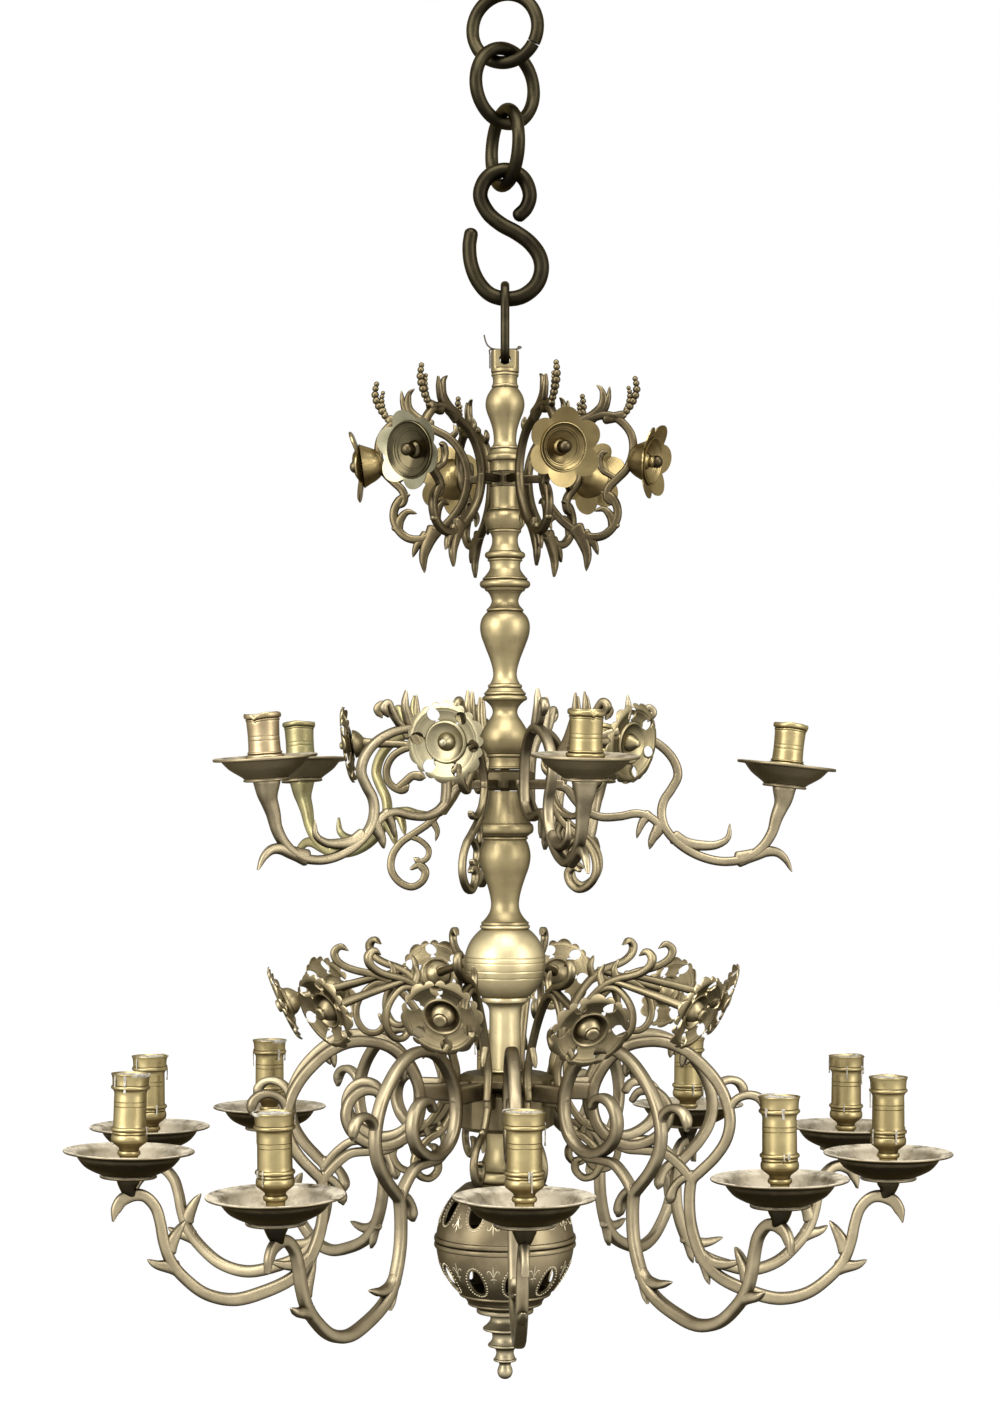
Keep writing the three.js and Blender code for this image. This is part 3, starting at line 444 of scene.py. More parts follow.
def edge_values(points, quads, triangles):
    """How far each point stands out from the mean of its neighbours along the surface's normal, divided by
    the square of their distance, which is the curvature; it is then evened out over the neighbours."""
    def total(numbers, values):
        """The sum of the values at each point."""
        return np.bincount(numbers, values, len(points))

    def mean_of(values):
        """The mean of the neighbours' values at each point."""
        return total(here, values[there]) / neighbours

    corners = np.vstack([quads[:, :3], quads[:, [2, 3, 0]], triangles])
    first, second, third = (points[corners[:, k]] for k in range(3))
    face = np.cross(second - first, third - first)
    normal = np.column_stack([sum(total(corners[:, k], face[:, i]) for k in range(3)) for i in range(3)])
    normal /= np.maximum(np.linalg.norm(normal, axis=1, keepdims=True), FLATTEST)
    sides = sides_of(quads, triangles)
    here, there = np.vstack([sides, sides[:, ::-1]]).T
    neighbours = np.maximum(total(here, np.ones(len(here))), 1)
    offset = points - np.column_stack([mean_of(points[:, i]) for i in range(3)])
    distance = np.sum((points[there] - points[here]) ** 2, axis=1)
    distance = np.maximum(total(here, distance) / neighbours, CLOSEST)
    bend = 2 * np.sum(offset * normal, axis=1) / distance
    value = np.clip(0.5 + WEAR_REACH * bend, 0, 1)
    for _ in range(2):
        value = 0.5 * value + 0.5 * mean_of(value)
    return value


def make(name, parts, finish, node, crisp=40, body="chandelier"):
    """Joins parts given in millimetres into one object in metres, at rest on its body, in the place of its
    node. Edges sharper than `crisp` degrees stay sharp."""
    points, quads, triangles = joined(parts) if isinstance(parts, list) else parts
    mesh = bpy.data.meshes.new(name)
    mesh.vertices.add(len(points))
    mesh.vertices.foreach_set("co", (points * MM).astype(np.float32).ravel())
    loops = np.concatenate([quads.ravel(), triangles.ravel()])
    mesh.loops.add(len(loops))
    mesh.loops.foreach_set("vertex_index", loops.astype(np.int32))
    sizes = np.repeat([4, 3], [len(quads), len(triangles)])
    mesh.polygons.add(len(sizes))
    mesh.polygons.foreach_set("loop_start", (np.cumsum(sizes) - sizes).astype(np.int32))
    mesh.polygons.foreach_set("use_smooth", np.ones(len(sizes), bool))
    mesh.update(calc_edges=True)
    mesh.validate()
    mesh.set_sharp_from_angle(angle=math.radians(crisp))
    edge = mesh.attributes.new("edge", "FLOAT", "POINT")
    edge.data.foreach_set("value", edge_values(points, quads, triangles).astype(np.float32))
    mesh.materials.append(finish)
    piece = bpy.data.objects.new(name, mesh)
    bpy.context.scene.collection.objects.link(piece)
    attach(piece, body)
    if node:
        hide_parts(node)
    print(f"{name}: {2 * len(quads) + len(triangles)} triangles")
    return piece


bar_edges = edge_values(*bar([(0, 0), (40, 0)], 4))
print("edge numbers of a bar:", round(float(bar_edges.min()), 2), "to", round(float(bar_edges.max()), 2))

# %% [markdown]
# ## Colours and noise
# A shader is a chain of small steps. Those that come back get short names first: two colours mixed, a
# share added, cloudy noise, and a colour as it looks on a screen. A painted image could carry the stains
# instead, but noise has no seams and fits every piece.

# %% Colours and noise
def mixed(tree, amount, first, second):
    """One colour fading into another."""
    return add_node(tree, "ShaderNodeMix", {0: amount, 6: first, 7: second}, data_type="RGBA").outputs[2]


def more(tree, value, amount, share):
    """A value and a share of another amount."""
    return maths(tree, "ADD", value, maths(tree, "MULTIPLY", amount, share))


def noise(tree, where, scale, detail=4.0, roughness=0.55):
    """Cloudy noise with features about 1 / scale metres across."""
    return add_node(tree, "ShaderNodeTexNoise", {
        "Vector": where, "Scale": scale, "Detail": detail, "Roughness": roughness}).outputs["Fac"]


def colour(red, green, blue):
    """A colour given as it looks on a screen, 0 to 255, as the linear value that a shader wants."""
    v = np.array([red, green, blue]) / 255
    v = np.where(v <= 0.04045, v / 12.92, ((v + 0.055) / 1.055) ** 2.4)
    return (*map(float, v), 1.0)


VERDIGRIS = colour(122, 130, 92)
print("verdigris as a shader takes it:", [round(v, 3) for v in VERDIGRIS])

# %% [markdown]
# ## Old brass
# The metal is the same everywhere, but it has aged in different ways: satin gold where it was turned,
# grey-brown on the castings, yellow where candles and cloths touch it, nearly black in the chain. The
# chain and the top tier are also painted darker, as painted shade. One recipe makes them all from four
# colours: bright, dull, ridge, and a dark one for dirt and painted shade. Broad and fine noise mix them.
# The edge number puts the ridge colour on ridges, partly polish and partly painted highlight, and the
# dark colour in grooves, partly dirt and partly painted shade. The dark colour is also painted as shade
# where a surface is seen at a slant and where it faces down.

# %% Recipe for a metal finish
BROAD, MIDDLE, FINE = 11, 60, 420  # clouds to the metre: patches, mottling and the grain of the cast
SPECKS, BLOTCHES, PATCHES = 150, 48, 34
LATHE_RINGS = 900
BUMP_HEIGHT = 0.002
STIR = 0.22  # how far the mottling moves the borders between tones
# Ranges: tone; ridge colour, polish and painted highlight; hollows, dirt and painted shade.
TONES, POLISH_AND_HIGHLIGHT, HOLLOWS = (0.36, 0.66), (0.68, 0.96), (0.44, 0.16)  # by noise, and twice by the edge number
# Ranges for painted shade at a slant and on undersides, and for dust on topsides.
SLANTS, UNDERSIDES, TOPSIDES = (0.3, 0.9), (0.05, -0.6), (0.3, 0.85)  # by facing, and twice by the normal
GRIME_AND_SHADE_ROUGH, UNDERSIDE_SHADE_ROUGH, GREEN_ROUGH, DUST_ROUGH = 0.22, 0.25, 0.25, 0.35  # what each adds to roughness
EDGE_TINT = (0.6, 0.55, 0.46, 1.0)
# The dark colour: dirt, and painted shade where slants and undersides darken.
DIRT_AND_SHADE = (32, 27, 18)
RIDGE_SHARE = 0.75


def brass(name, bright, dull, ridge, dirt_and_shade=DIRT_AND_SHADE, rough=(0.36, 0.48), turning=0.0, grain=0.03, dust=None,
          verdigris=0.0, groove_dirt_and_shade_share=0.85, slant_shade_share=0.85, underside_shade=0.9):
    """A worn metal. `turning` adds the fine rings of a lathe, `dust` a pale film on what faces up, and
    `verdigris` green patches. Of the three shares at the end, the first puts the dark colour in grooves,
    partly as dirt and partly as painted shade; the second paints shade where the surface is seen at a
    slant, and the third paints shade on what faces down."""
    material = bpy.data.materials.new(name)
    material.use_nodes = True
    tree = material.node_tree
    shader = tree.nodes["Principled BSDF"].inputs
    dirt_and_shade = colour(*dirt_and_shade)
    where = add_node(tree, "ShaderNodeTexCoord").outputs["Object"]
    middle = noise(tree, where, MIDDLE, 5, 0.6)
    edge = add_node(tree, "ShaderNodeAttribute", attribute_name="edge").outputs["Fac"]
    stir = maths(tree, "MULTIPLY", maths(tree, "SUBTRACT", middle, 0.5), STIR)
    uneven = maths(tree, "ADD", edge, stir)
    tone = ramp(tree, maths(tree, "ADD", noise(tree, where, BROAD, 3), stir), *TONES)
    metal = mixed(tree, tone, colour(*dull), colour(*bright))
    # The ridge colour on ridges is partly polish and partly a painted highlight.
    metal = mixed(tree, ramp(tree, uneven, *POLISH_AND_HIGHLIGHT, 0, RIDGE_SHARE), metal, colour(*ridge))
    specks = ramp(tree, noise(tree, where, SPECKS, 2, 0.5), 0.68, 0.78, 0, 0.2)
    # The dark colour in grooves is partly dirt and partly painted shade; the specks are dirt.
    grime_and_groove_shade = maths(tree, "MAXIMUM", ramp(tree, uneven, *HOLLOWS, 0, groove_dirt_and_shade_share), specks)
    metal = mixed(tree, grime_and_groove_shade, metal, dirt_and_shade)
    # Painted shade: darker towards the dark colour where the surface is seen at a slant.
    facing = add_node(tree, "ShaderNodeLayerWeight", {"Blend": 0.5}).outputs["Facing"]
    metal = mixed(tree, ramp(tree, facing, *SLANTS, 0, slant_shade_share), metal, dirt_and_shade)
    normal = add_node(tree, "ShaderNodeNewGeometry").outputs["Normal"]
    up = add_node(tree, "ShaderNodeSeparateXYZ", {0: normal}).outputs["Z"]
    leaning = maths(tree, "ADD", up, stir)
    # Painted shade: what faces down darkens towards the dark colour.
    underside_shade_mask = ramp(tree, leaning, *UNDERSIDES, 0, underside_shade)
    metal = mixed(tree, underside_shade_mask, metal, dirt_and_shade)
    roughness = more(tree, ramp(tree, middle, 0.3, 0.7, *rough), grime_and_groove_shade, GRIME_AND_SHADE_ROUGH)
    roughness = more(tree, roughness, underside_shade_mask, UNDERSIDE_SHADE_ROUGH)
    if verdigris:
        patches = ramp(tree, noise(tree, where, PATCHES, 4, 0.65), 0.62 - verdigris * 0.3, 0.74, 0, 0.6)
        metal = mixed(tree, patches, metal, VERDIGRIS)
        roughness = more(tree, roughness, patches, GREEN_ROUGH)
    shader["Metallic"].default_value = 1.0
    if dust:
        lying = ramp(tree, leaning, *TOPSIDES, 0, dust[1])
        film = maths(tree, "MULTIPLY", lying, ramp(tree, noise(tree, where, BLOTCHES, 5, 0.65), 0.3, 0.56))
        metal = mixed(tree, film, metal, colour(*dust[0]))
        roughness = more(tree, roughness, film, DUST_ROUGH)
        tree.links.new(ramp(tree, film, 0, 1, 1.0, 0.25), shader["Metallic"])
    height = maths(tree, "MULTIPLY", noise(tree, where, FINE, 4, 0.6), 0.6)
    height = more(tree, height, middle, 1.2)
    if turning:
        pressed = add_node(tree, "ShaderNodeMapping", {"Vector": where, "Scale": (1, 1, LATHE_RINGS)})
        height = more(tree, height, noise(tree, pressed.outputs[0], 1.0, 3, 0.6), turning)
    bump = add_node(tree, "ShaderNodeBump", {"Height": height, "Strength": grain, "Distance": BUMP_HEIGHT})
    shader["Specular Tint"].default_value = EDGE_TINT
    tree.links.new(bump.outputs[0], shader["Normal"])
    tree.links.new(metal, shader["Base Color"])
    tree.links.new(roughness, shader["Roughness"])
    return material


print("clouds to the metre:", BROAD, MIDDLE, FINE)

# %% [markdown]
# ## The finishes
# Each finish is the recipe with its own colours, bright, dull and ridge, as they look on a screen. The
# shaft is among the brightest, because it is turned and easy to wipe; the ball is lighter still, as a
# painted highlight. Painted shade darkens what faces down, most under the castings and the pans, and
# dust lies on the pans. The top tier is painted darker as shade, and the chain's dark bronze is too.

# %% The finishes of this chandelier
shaft_brass = brass("satin_turned_brass", (184, 168, 126), (152, 137, 101), (216, 201, 160),
                    rough=(0.36, 0.46), turning=0.35, grain=0.02, slant_shade_share=0.9, underside_shade=0.5)
collar_brass = brass("cast_collar_brass", (134, 121, 91), (100, 90, 67), (180, 166, 130),
                     rough=(0.42, 0.56), grain=0.04, slant_shade_share=0.6, underside_shade=0.5)
arm_brass = brass("grey_cast_brass", (186, 172, 140), (150, 137, 110), (226, 212, 178))
branch_brass = brass("brown_cast_brass", (172, 158, 124), (132, 119, 91), (220, 205, 166))
# Painted shade: the top branches and their pearls are darker copies, for the weaker light near the top.
top_branch_shaded_brass = brass("top_cast_brass_with_painted_shade", (118, 105, 78), (74, 65, 48), (206, 190, 148),
                         rough=(0.3, 0.4), grain=0.02, underside_shade=0.85)
pearl_shaded_brass = brass("pearl_brass_with_painted_shade", (110, 98, 72), (84, 74, 54), (128, 115, 86),
                    rough=(0.26, 0.34), grain=0.01, slant_shade_share=0.9, underside_shade=0.5)
# Painted highlight: the shaft's finish made much lighter, for the broad highlight on the ball.
ball_painted_highlight_brass = brass("ball_brass_with_painted_highlight", (240, 224, 178), (218, 202, 157), (244, 230, 188),
                   rough=(0.36, 0.46), turning=0.35, grain=0.02, slant_shade_share=0.9, underside_shade=0.5)
dark_dish_brass = brass("mirror_dish_brass", (112, 103, 78), (74, 67, 49), (160, 150, 120),
                        rough=(0.2, 0.26), grain=0.01, slant_shade_share=0.8, underside_shade=0.5)
rosette_brass = brass("brown_rosette_brass", (184, 168, 130), (134, 121, 92), (228, 212, 172),
                      rough=(0.32, 0.44), grain=0.02, slant_shade_share=0.75, underside_shade=0.85)
flower_brass = brass("spun_flower_brass", (170, 156, 119), (128, 116, 87), (214, 200, 158),
                     rough=(0.34, 0.46), grain=0.02, slant_shade_share=0.8, underside_shade=0.85)
gold_brass = brass("gold_dish_brass", (170, 150, 104), (134, 118, 80), (214, 197, 148), (52, 40, 18),
                   (0.24, 0.34), grain=0.02, slant_shade_share=0.8, underside_shade=0.8)
silver_brass = brass("grey_green_flower_brass", (176, 171, 142), (140, 134, 108), (212, 206, 180),
                     rough=(0.2, 0.3), grain=0.02, underside_shade=0.5)
pale_brass = brass("pale_rosette_brass", (196, 186, 150), (160, 150, 118), (226, 216, 184),
                   rough=(0.3, 0.4), grain=0.02, groove_dirt_and_shade_share=0.6, slant_shade_share=0.8, underside_shade=0.6)
cup_brass = brass("yellow_cup_brass", (192, 175, 127), (160, 144, 102), (228, 212, 164), (56, 46, 28),
                  (0.3, 0.42), turning=0.3, grain=0.02, underside_shade=0.5)
pan_brass = brass("dusty_pan_brass", (150, 136, 107), (104, 93, 71), (222, 208, 172), rough=(0.36, 0.5),
                  turning=0.2, dust=((232, 221, 197), 1.0), slant_shade_share=0.5, underside_shade=1.0)
middle_pan_brass = brass("brown_pan_brass", (166, 151, 118), (126, 114, 88), (218, 204, 168), turning=0.2,
                         dust=((216, 204, 178), 0.7), slant_shade_share=0.7, underside_shade=0.7)
pink_brass = brass("pink_cup_brass", (200, 180, 142), (160, 142, 108), (232, 214, 176), (70, 58, 40),
                   (0.3, 0.42), turning=0.3, grain=0.02, slant_shade_share=0.8, verdigris=0.12, underside_shade=0.5)
finial_brass = brass("grey_finial_brass", (184, 171, 139), (132, 121, 96), (226, 212, 176), turning=0.2)
# Dark bronze, painted darker still as shade near the top; the lower sockets take it too.
chain_bronze_and_shade = brass("dark_bronze_with_painted_shade", (66, 60, 43), (40, 35, 26), (118, 106, 76), (14, 12, 8),
                    (0.28, 0.4), slant_shade_share=0.8, underside_shade=0.8)
globe_brass = brass("brown_globe_brass", (166, 151, 119), (116, 104, 80), (240, 227, 192), (24, 20, 13),
                    underside_shade=0.85)
green_brass = brass("verdigris_cup_brass", (178, 166, 120), (134, 128, 92), (218, 208, 164), (48, 44, 28),
                    (0.34, 0.48), turning=0.2, slant_shade_share=0.8, verdigris=0.35, underside_shade=0.5)
iron = brass("rusty_wire_iron", (84, 75, 64), (58, 51, 44), (116, 105, 90), (28, 24, 18), (0.4, 0.6),
             grain=0.05, slant_shade_share=0.6, underside_shade=0.5)
print("finishes:", len(bpy.data.materials))

# %% [markdown]
# ## The turned shaft
# On the real chandelier the shaft is a stack of hollow castings, each turned on a lathe and threaded on
# an iron rod. A turned piece is a profile carried round the axis, so every section is written as runs of
# heights and radii: smooth stretches, and half-round beads between them. A curve with a screw modifier
# would do the same, but a list of numbers is quicker to correct against the real outline.

# %% Profiles of the shaft's sections
HEAD_PROFILE = [
    [(-402.4, 14.9), (-402.8, 15.8), (-403.6, 16.1)],
    np.column_stack([np.arange(-404.5, -422, -1.2), np.full(15, 16.1)]),
    run([(-422.3, 16.1), (-427.2, 16.1)]),
    [(-427.5, 15.0), (-428.2, 14.7)], bead(-428.3, -432.2, 14.6, 15.8),
    run([(-432.4, 14.6), (-436, 13.9), (-441.2, 14.3)]), bead(-441.4, -445.2, 14.3, 15.5),
    run([(-445.4, 15.0), (-449, 17.6), (-455, 20.8), (-463.8, 22.5), (-472, 21.2), (-482, 17.5),
         (-493, 14.2), (-504.9, 12.9), (-509, 13.3), (-512.4, 14.8)]),
    bead(-512.6, -516.2, 15.0, 16.9), run([(-516.4, 15.9), (-519.4, 17.6), (-522.4, 20.4)]),
    bead(-522.6, -529.2, 20.0, 21.2), run([(-529.4, 17.6), (-532, 16.5), (-536, 16.4), (-541.4, 17.0)]),
]
UPPER_PROFILE = [
    [(-559.3, 16.8), (-559.8, 17.4)], run([(-560.2, 17.4), (-570, 16.9), (-580, 17.2), (-583.6, 18.0)]),
    bead(-583.8, -586.2, 18.2, 19.2),
    run([(-586.4, 19.0), (-589.5, 22.4), (-595.7, 24.2), (-602, 22.2), (-608.4, 18.4)]),
    bead(-608.6, -611.4, 17.8, 18.8),
    run([(-611.6, 17.2), (-616, 15.2), (-621, 14.8), (-626, 15.6), (-631, 17.9), (-633.4, 19.4)]),
    bead(-633.6, -641.2, 19.6, 23.4), bead(-641.4, -644.6, 18.6, 20.2),
    run([(-644.8, 18.2), (-649, 17.4), (-653.5, 17.8), (-658, 20.4), (-663, 24.4)]),
    bead(-663.2, -666.2, 24.2, 26.0), bead(-666.4, -675.2, 25.2, 29.2), [(-675.5, 24.0), (-678.6, 22.4)],
]
VASE_PROFILE = [
    run([(-679.1, 20.4), (-683, 17.6), (-690.5, 15.4), (-695, 17.0), (-698.6, 19.8)]),
    bead(-698.8, -702.4, 19.6, 21.4),
    run([(-702.6, 20.6), (-708, 25.4), (-714, 27.9), (-720.6, 28.7), (-730, 27.4), (-742, 23.2),
         (-757, 17.4), (-768, 14.3), (-774.8, 13.6), (-780, 14.6), (-785.6, 17.4)]),
    bead(-785.8, -790.4, 17.8, 19.8), run([(-790.6, 19.4), (-794.6, 22.4)]),
    bead(-794.8, -798.6, 22.2, 24.2), bead(-798.8, -804.8, 22.8, 25.6),
    run([(-805, 22.4), (-808.6, 18.4), (-813, 15.2), (-817.7, 14.2), (-822, 15.4), (-830, 20.6),
         (-840, 26.2), (-849.5, 28.0), (-858, 26.0), (-865.6, 21.4)]),
    bead(-865.8, -869.8, 19.8, 21.4), run([(-870, 18.5), (-876, 18.3), (-880.4, 19.2)]),
    bead(-880.6, -883.6, 19.0, 21.0),
]
PEAR_PROFILE = [
    run([(-908.5, 18.2), (-915, 18.0), (-925, 19.6), (-935, 23.4), (-942, 27.4), (-945.6, 30.2)]),
    bead(-945.8, -957.6, 30.0, 33.0), run([(-957.8, 29.4), (-960.6, 26.4)]),
    bead(-960.8, -964.4, 25.0, 26.4),
    run([(-964.6, 24.6), (-970, 27.0), (-978, 29.0), (-985.6, 29.4), (-996, 27.6), (-1008, 23.4),
         (-1020, 19.5), (-1032, 16.7), (-1039.6, 16.1), (-1047, 17.6), (-1054, 21.8), (-1058.6, 26.0)]),
    [(-1059.0, 27.2), (-1061.8, 27.4)],
]
BALL_CENTRE, BALL_RADIUS, BALL_HALF_HEIGHT = -1106.0, 46.8, 47.9
ENGRAVED_LINES = np.array([-1099.4, -1105.2, -1114.4, -1122.4])
ball_heights = np.arange(-1067.0, -1144.2, -0.55)
ball_radii = BALL_RADIUS * np.sqrt(1 - ((ball_heights - BALL_CENTRE) / BALL_HALF_HEIGHT) ** 2)
ball_radii -= 0.45 * np.exp(-((ball_heights[:, None] - ENGRAVED_LINES) / 0.6) ** 2).sum(1)
BALL_PROFILE = [
    bead(-1062.5, -1066.6, 27.4, 28.8), np.column_stack([ball_heights, ball_radii]),
    bead(-1144.6, -1151.2, 25.6, 27.4),
    run([(-1151.4, 24.6), (-1155, 20.4), (-1159.2, 18.5), (-1170, 18.0), (-1195, 18.2), (-1215, 18.4),
         (-1227.6, 18.6)]), bead(-1227.8, -1231.7, 18.2, 19.8),
]
SPINDLE_PROFILE = [
    run([(-1297.7, 27.5), (-1305, 24.4), (-1317.5, 22.5), (-1328, 24.2), (-1337, 28.6),
         (-1342.6, 33.0)]), bead(-1342.8, -1357.4, 33.4, 38.4), [(-1357.8, 34.4), (-1359.9, 33.8)],
]
FINIAL_PROFILE = [
    bead(-1502.1, -1507.9, 31.8, 32.9), run([(-1508.1, 24), (-1510, 18.4), (-1513.5, 16.9),
                                            (-1517, 17.4), (-1521, 20.4), (-1524.4, 24.4)]),
    bead(-1524.6, -1527.8, 24.2, 25.5), run([(-1528, 21), (-1530, 16.6), (-1534.7, 14.6), (-1539, 15.2),
                                            (-1543, 18.0)]),
    bead(-1543.4, -1546.8, 18.4, 19.8), run([(-1547, 16), (-1549, 12), (-1553, 10.2), (-1557, 10.6),
                                            (-1560.4, 12.2)]),
    bead(-1560.8, -1563.8, 12.0, 13.5), run([(-1564, 10.4), (-1565.4, 7.6), (-1567.4, 6.6), (-1570, 7.4),
                                            (-1573, 8.5), (-1576, 8.9), (-1579.4, 8.2), (-1582, 6.6),
                                            (-1584, 3.6), (-1584.8, 0.8)], 0.9),
]
print("points of the ball's profile:", sum(len(stretch) for stretch in BALL_PROFILE))

# %% [markdown]
# ## Six sections on the rod
# The sections could be one long turning. They stay separate objects, because each one stands for a piece
# that can be taken off the rod. The ball gets the most sides, because its outline shows the most.

# %% Turn the sections
for section, profile, segments, finish in [
        ("upper_baluster", UPPER_PROFILE, 72, shaft_brass), ("vase_baluster", VASE_PROFILE, 72, shaft_brass),
        ("pear_baluster", PEAR_PROFILE, 72, shaft_brass), ("ball_baluster", BALL_PROFILE, 96, ball_painted_highlight_brass),
        ("lower_spindle", SPINDLE_PROFILE, 72, shaft_brass), ("finial", FINIAL_PROFILE, 64, finial_brass)]:
    make(section + "_turned", turned(profile, segments), finish, section)

# %% [markdown]
# ## The head and its eye
# The top of the shaft is flattened front and back, and an eye goes through it for the wrought loop. The
# turned skin is pressed flat by holding every point of the block within the flats, and the eye is then
# drilled with a cutter, because a hole through a turned piece has no simple grid of its own.

# %% Head of the shaft
BLOCK_HALF_DEPTH, BLOCK_FOOT = 11.0, -422.4
EYE_HEIGHT, EYE_RADIUS = -413.1, 6.4


def drilled(piece, cutter_part):
    """Cuts a closed part out of a piece, and keeps the result as the piece's own mesh."""
    cutter_mesh = bpy.data.meshes.new("cutter")
    cutter_mesh.from_pydata((cutter_part[0] * MM).tolist(), [],
                            cutter_part[1].tolist() + cutter_part[2].tolist())
    cutter = bpy.data.objects.new("cutter", cutter_mesh)
    bpy.context.scene.collection.objects.link(cutter)
    drill = piece.modifiers.new("drill", "BOOLEAN")
    drill.operation, drill.solver, drill.object = "DIFFERENCE", "EXACT", cutter
    bpy.context.view_layer.update()
    result = bpy.data.meshes.new_from_object(piece.evaluated_get(bpy.context.evaluated_depsgraph_get()))
    piece.modifiers.clear()
    piece.data = result
    bpy.data.objects.remove(cutter)


head_part = turned(HEAD_PROFILE, 96)
in_block = head_part[0][:, 2] > BLOCK_FOOT
head_part[0][in_block, 1] = np.clip(head_part[0][in_block, 1], -BLOCK_HALF_DEPTH, BLOCK_HALF_DEPTH)
head = make("head_turned", head_part, shaft_brass, "head_baluster")
angle = full_turn(32)
eye_rings = np.stack([np.column_stack([EYE_RADIUS * np.cos(angle), np.full(32, y),
                                       EYE_HEIGHT + EYE_RADIUS * np.sin(angle)]) for y in (-30, 30)])
drilled(head, skin(eye_rings))
print("eye drilled:", len(head.data.polygons), "faces")

# %% [markdown]
# ## Collars
# Each tier hangs on a drum with one flat for every branch. A cast drum has crisp edges between its
# flats and small chamfers above and below, so it is a turned profile whose section is a polygon.

# %% Two upper collars
def drum(top, bottom, radius, neck, edge):
    """A drum's profile: necked end faces, chamfers, and a flat wall between them."""
    above = [(top, neck), (top - 0.3, neck + 0.6), (top - edge, radius - 0.4), (top - edge - 0.5, radius)]
    below = [(bottom + edge + 0.5, radius), (bottom + edge, radius - 0.4), (bottom + 0.3, neck + 0.6)]
    return [above, below, [(bottom, neck)]]


TOP_FIRST, MIDDLE_FIRST = 22, 15  # azimuth of each drum's first flat
make("top_collar_drum", turned(drum(-542.0, -558.8, 14.3, 13.2, 1.6), 144, 6, math.radians(TOP_FIRST)),
     collar_brass, "top_collar", 20)
make("middle_collar_drum", turned(drum(-884.2, -908.0, 33.8, 26.0, 3.2), 200, 10, math.radians(MIDDLE_FIRST)),
     collar_brass, "middle_collar", 14)

# %% [markdown]
# ## The pierced globe
# Two spun bowls meet at a ridged equator, and ten ovals are pierced through each. Cutters could drill
# them, but they leave ragged faces. So the bowl is a grid of longitudes and latitudes: grid points near an
# oval's edge are pulled onto it, the faces inside it are left out, and the sheet then gets its thickness.

# %% Bowls with pierced ovals
GLOBE_CENTRE, GLOBE_RADIUS, GLOBE_WALL = -1425.1, 79.4, 2.4
HOLES, FIRST_HOLE, HOLE_PITCH = 10, 8.0, 36
HOLE_LATITUDE, HOLE_HALF_WIDTH, HOLE_HALF_LENGTH = 30.0, 9.6, 17.5
NEAR_EDGE = 0.0625  # share of an oval's size within which a grid point is pulled onto its edge


def sphere_points(longitude, latitude, radius):
    """Points on the globe: the azimuth is counted from the front towards the right."""
    flat = radius * np.cos(latitude)
    return np.stack([flat * np.sin(longitude), -flat * np.cos(longitude),
                     GLOBE_CENTRE + radius * np.sin(latitude)], axis=-1)


def from_oval(longitude, latitude, sign):
    """Where a point of the globe lies from the middle of the nearest oval, in millimetres across and up,
    and the ratio of that offset to the oval's own half sizes, which is 1 on its edge."""
    off = from_nearest(longitude - math.radians(FIRST_HOLE), 2 * math.pi / HOLES)
    x = off * np.cos(latitude) * GLOBE_RADIUS
    y = (latitude - math.radians(HOLE_LATITUDE) * sign) * GLOBE_RADIUS
    return x, y, np.hypot(x / HOLE_HALF_WIDTH, y / HOLE_HALF_LENGTH)


def pierced_bowl(sign, low, high, columns=360, rows=54):
    """One bowl from latitude low to high in degrees, its ovals cut out, and given its thickness."""
    latitude = np.radians(np.linspace(low, high, rows)) * sign
    lon, lat = np.meshgrid(full_turn(columns), latitude)
    for _ in range(2):
        x, y, ratio = from_oval(lon, lat, sign)
        near = np.abs(ratio - 1) < NEAR_EDGE
        pull = np.where(near, 1 / np.maximum(ratio, 1e-6) - 1, 0)
        lon = lon + pull * x / (np.cos(lat) * GLOBE_RADIUS)
        lat = lat + pull * y / GLOBE_RADIUS
    faces = grid_faces(rows, columns)
    outside = (from_oval(lon, lat, sign)[2].ravel() > 0.995)[faces]
    three = outside.sum(1) == 3
    corners = np.array([np.roll(face, -int(np.argmin(kept)))[1:]
                        for face, kept in zip(faces[three], outside[three])], int).reshape(-1, 3)
    points = sphere_points(lon, lat, GLOBE_RADIUS).reshape(-1, 3)
    return solid_sheet(points, faces[outside.all(1)], corners, np.array([0, 0, GLOBE_CENTRE]), GLOBE_WALL)


def solid_sheet(points, quads, triangles, centre, thickness):
    """An open sheet made solid: the same faces turned round on an inner copy nearer the centre, and a wall
    along every open border."""
    used = np.unique(np.concatenate([quads.ravel(), triangles.ravel()]))
    renumber = np.full(len(points), -1)
    renumber[used] = np.arange(len(used))
    points, quads, triangles = points[used], renumber[quads], renumber[triangles]
    away = points - centre
    inner = centre + away * (1 - thickness / np.linalg.norm(away, axis=1, keepdims=True))
    return walled(points, inner, quads, triangles)


def walled(outer, inner, quads, triangles):
    """Outer and inner skins of equal numbering joined by walls along the borders, which are the edges that
    only one face has."""
    count = len(outer)
    sides = sides_of(quads, triangles)
    key = np.minimum(sides[:, 0], sides[:, 1]) * count + np.maximum(sides[:, 0], sides[:, 1])
    _, first, number = np.unique(key, return_index=True, return_counts=True)
    border = sides[first[number == 1]]
    wall = np.column_stack([border[:, 1], border[:, 0], border[:, 0] + count, border[:, 1] + count])
    return outward((np.vstack([outer, inner]),
                    np.vstack([quads, quads[:, ::-1] + count, wall]),
                    np.vstack([triangles, triangles[:, ::-1] + count])))


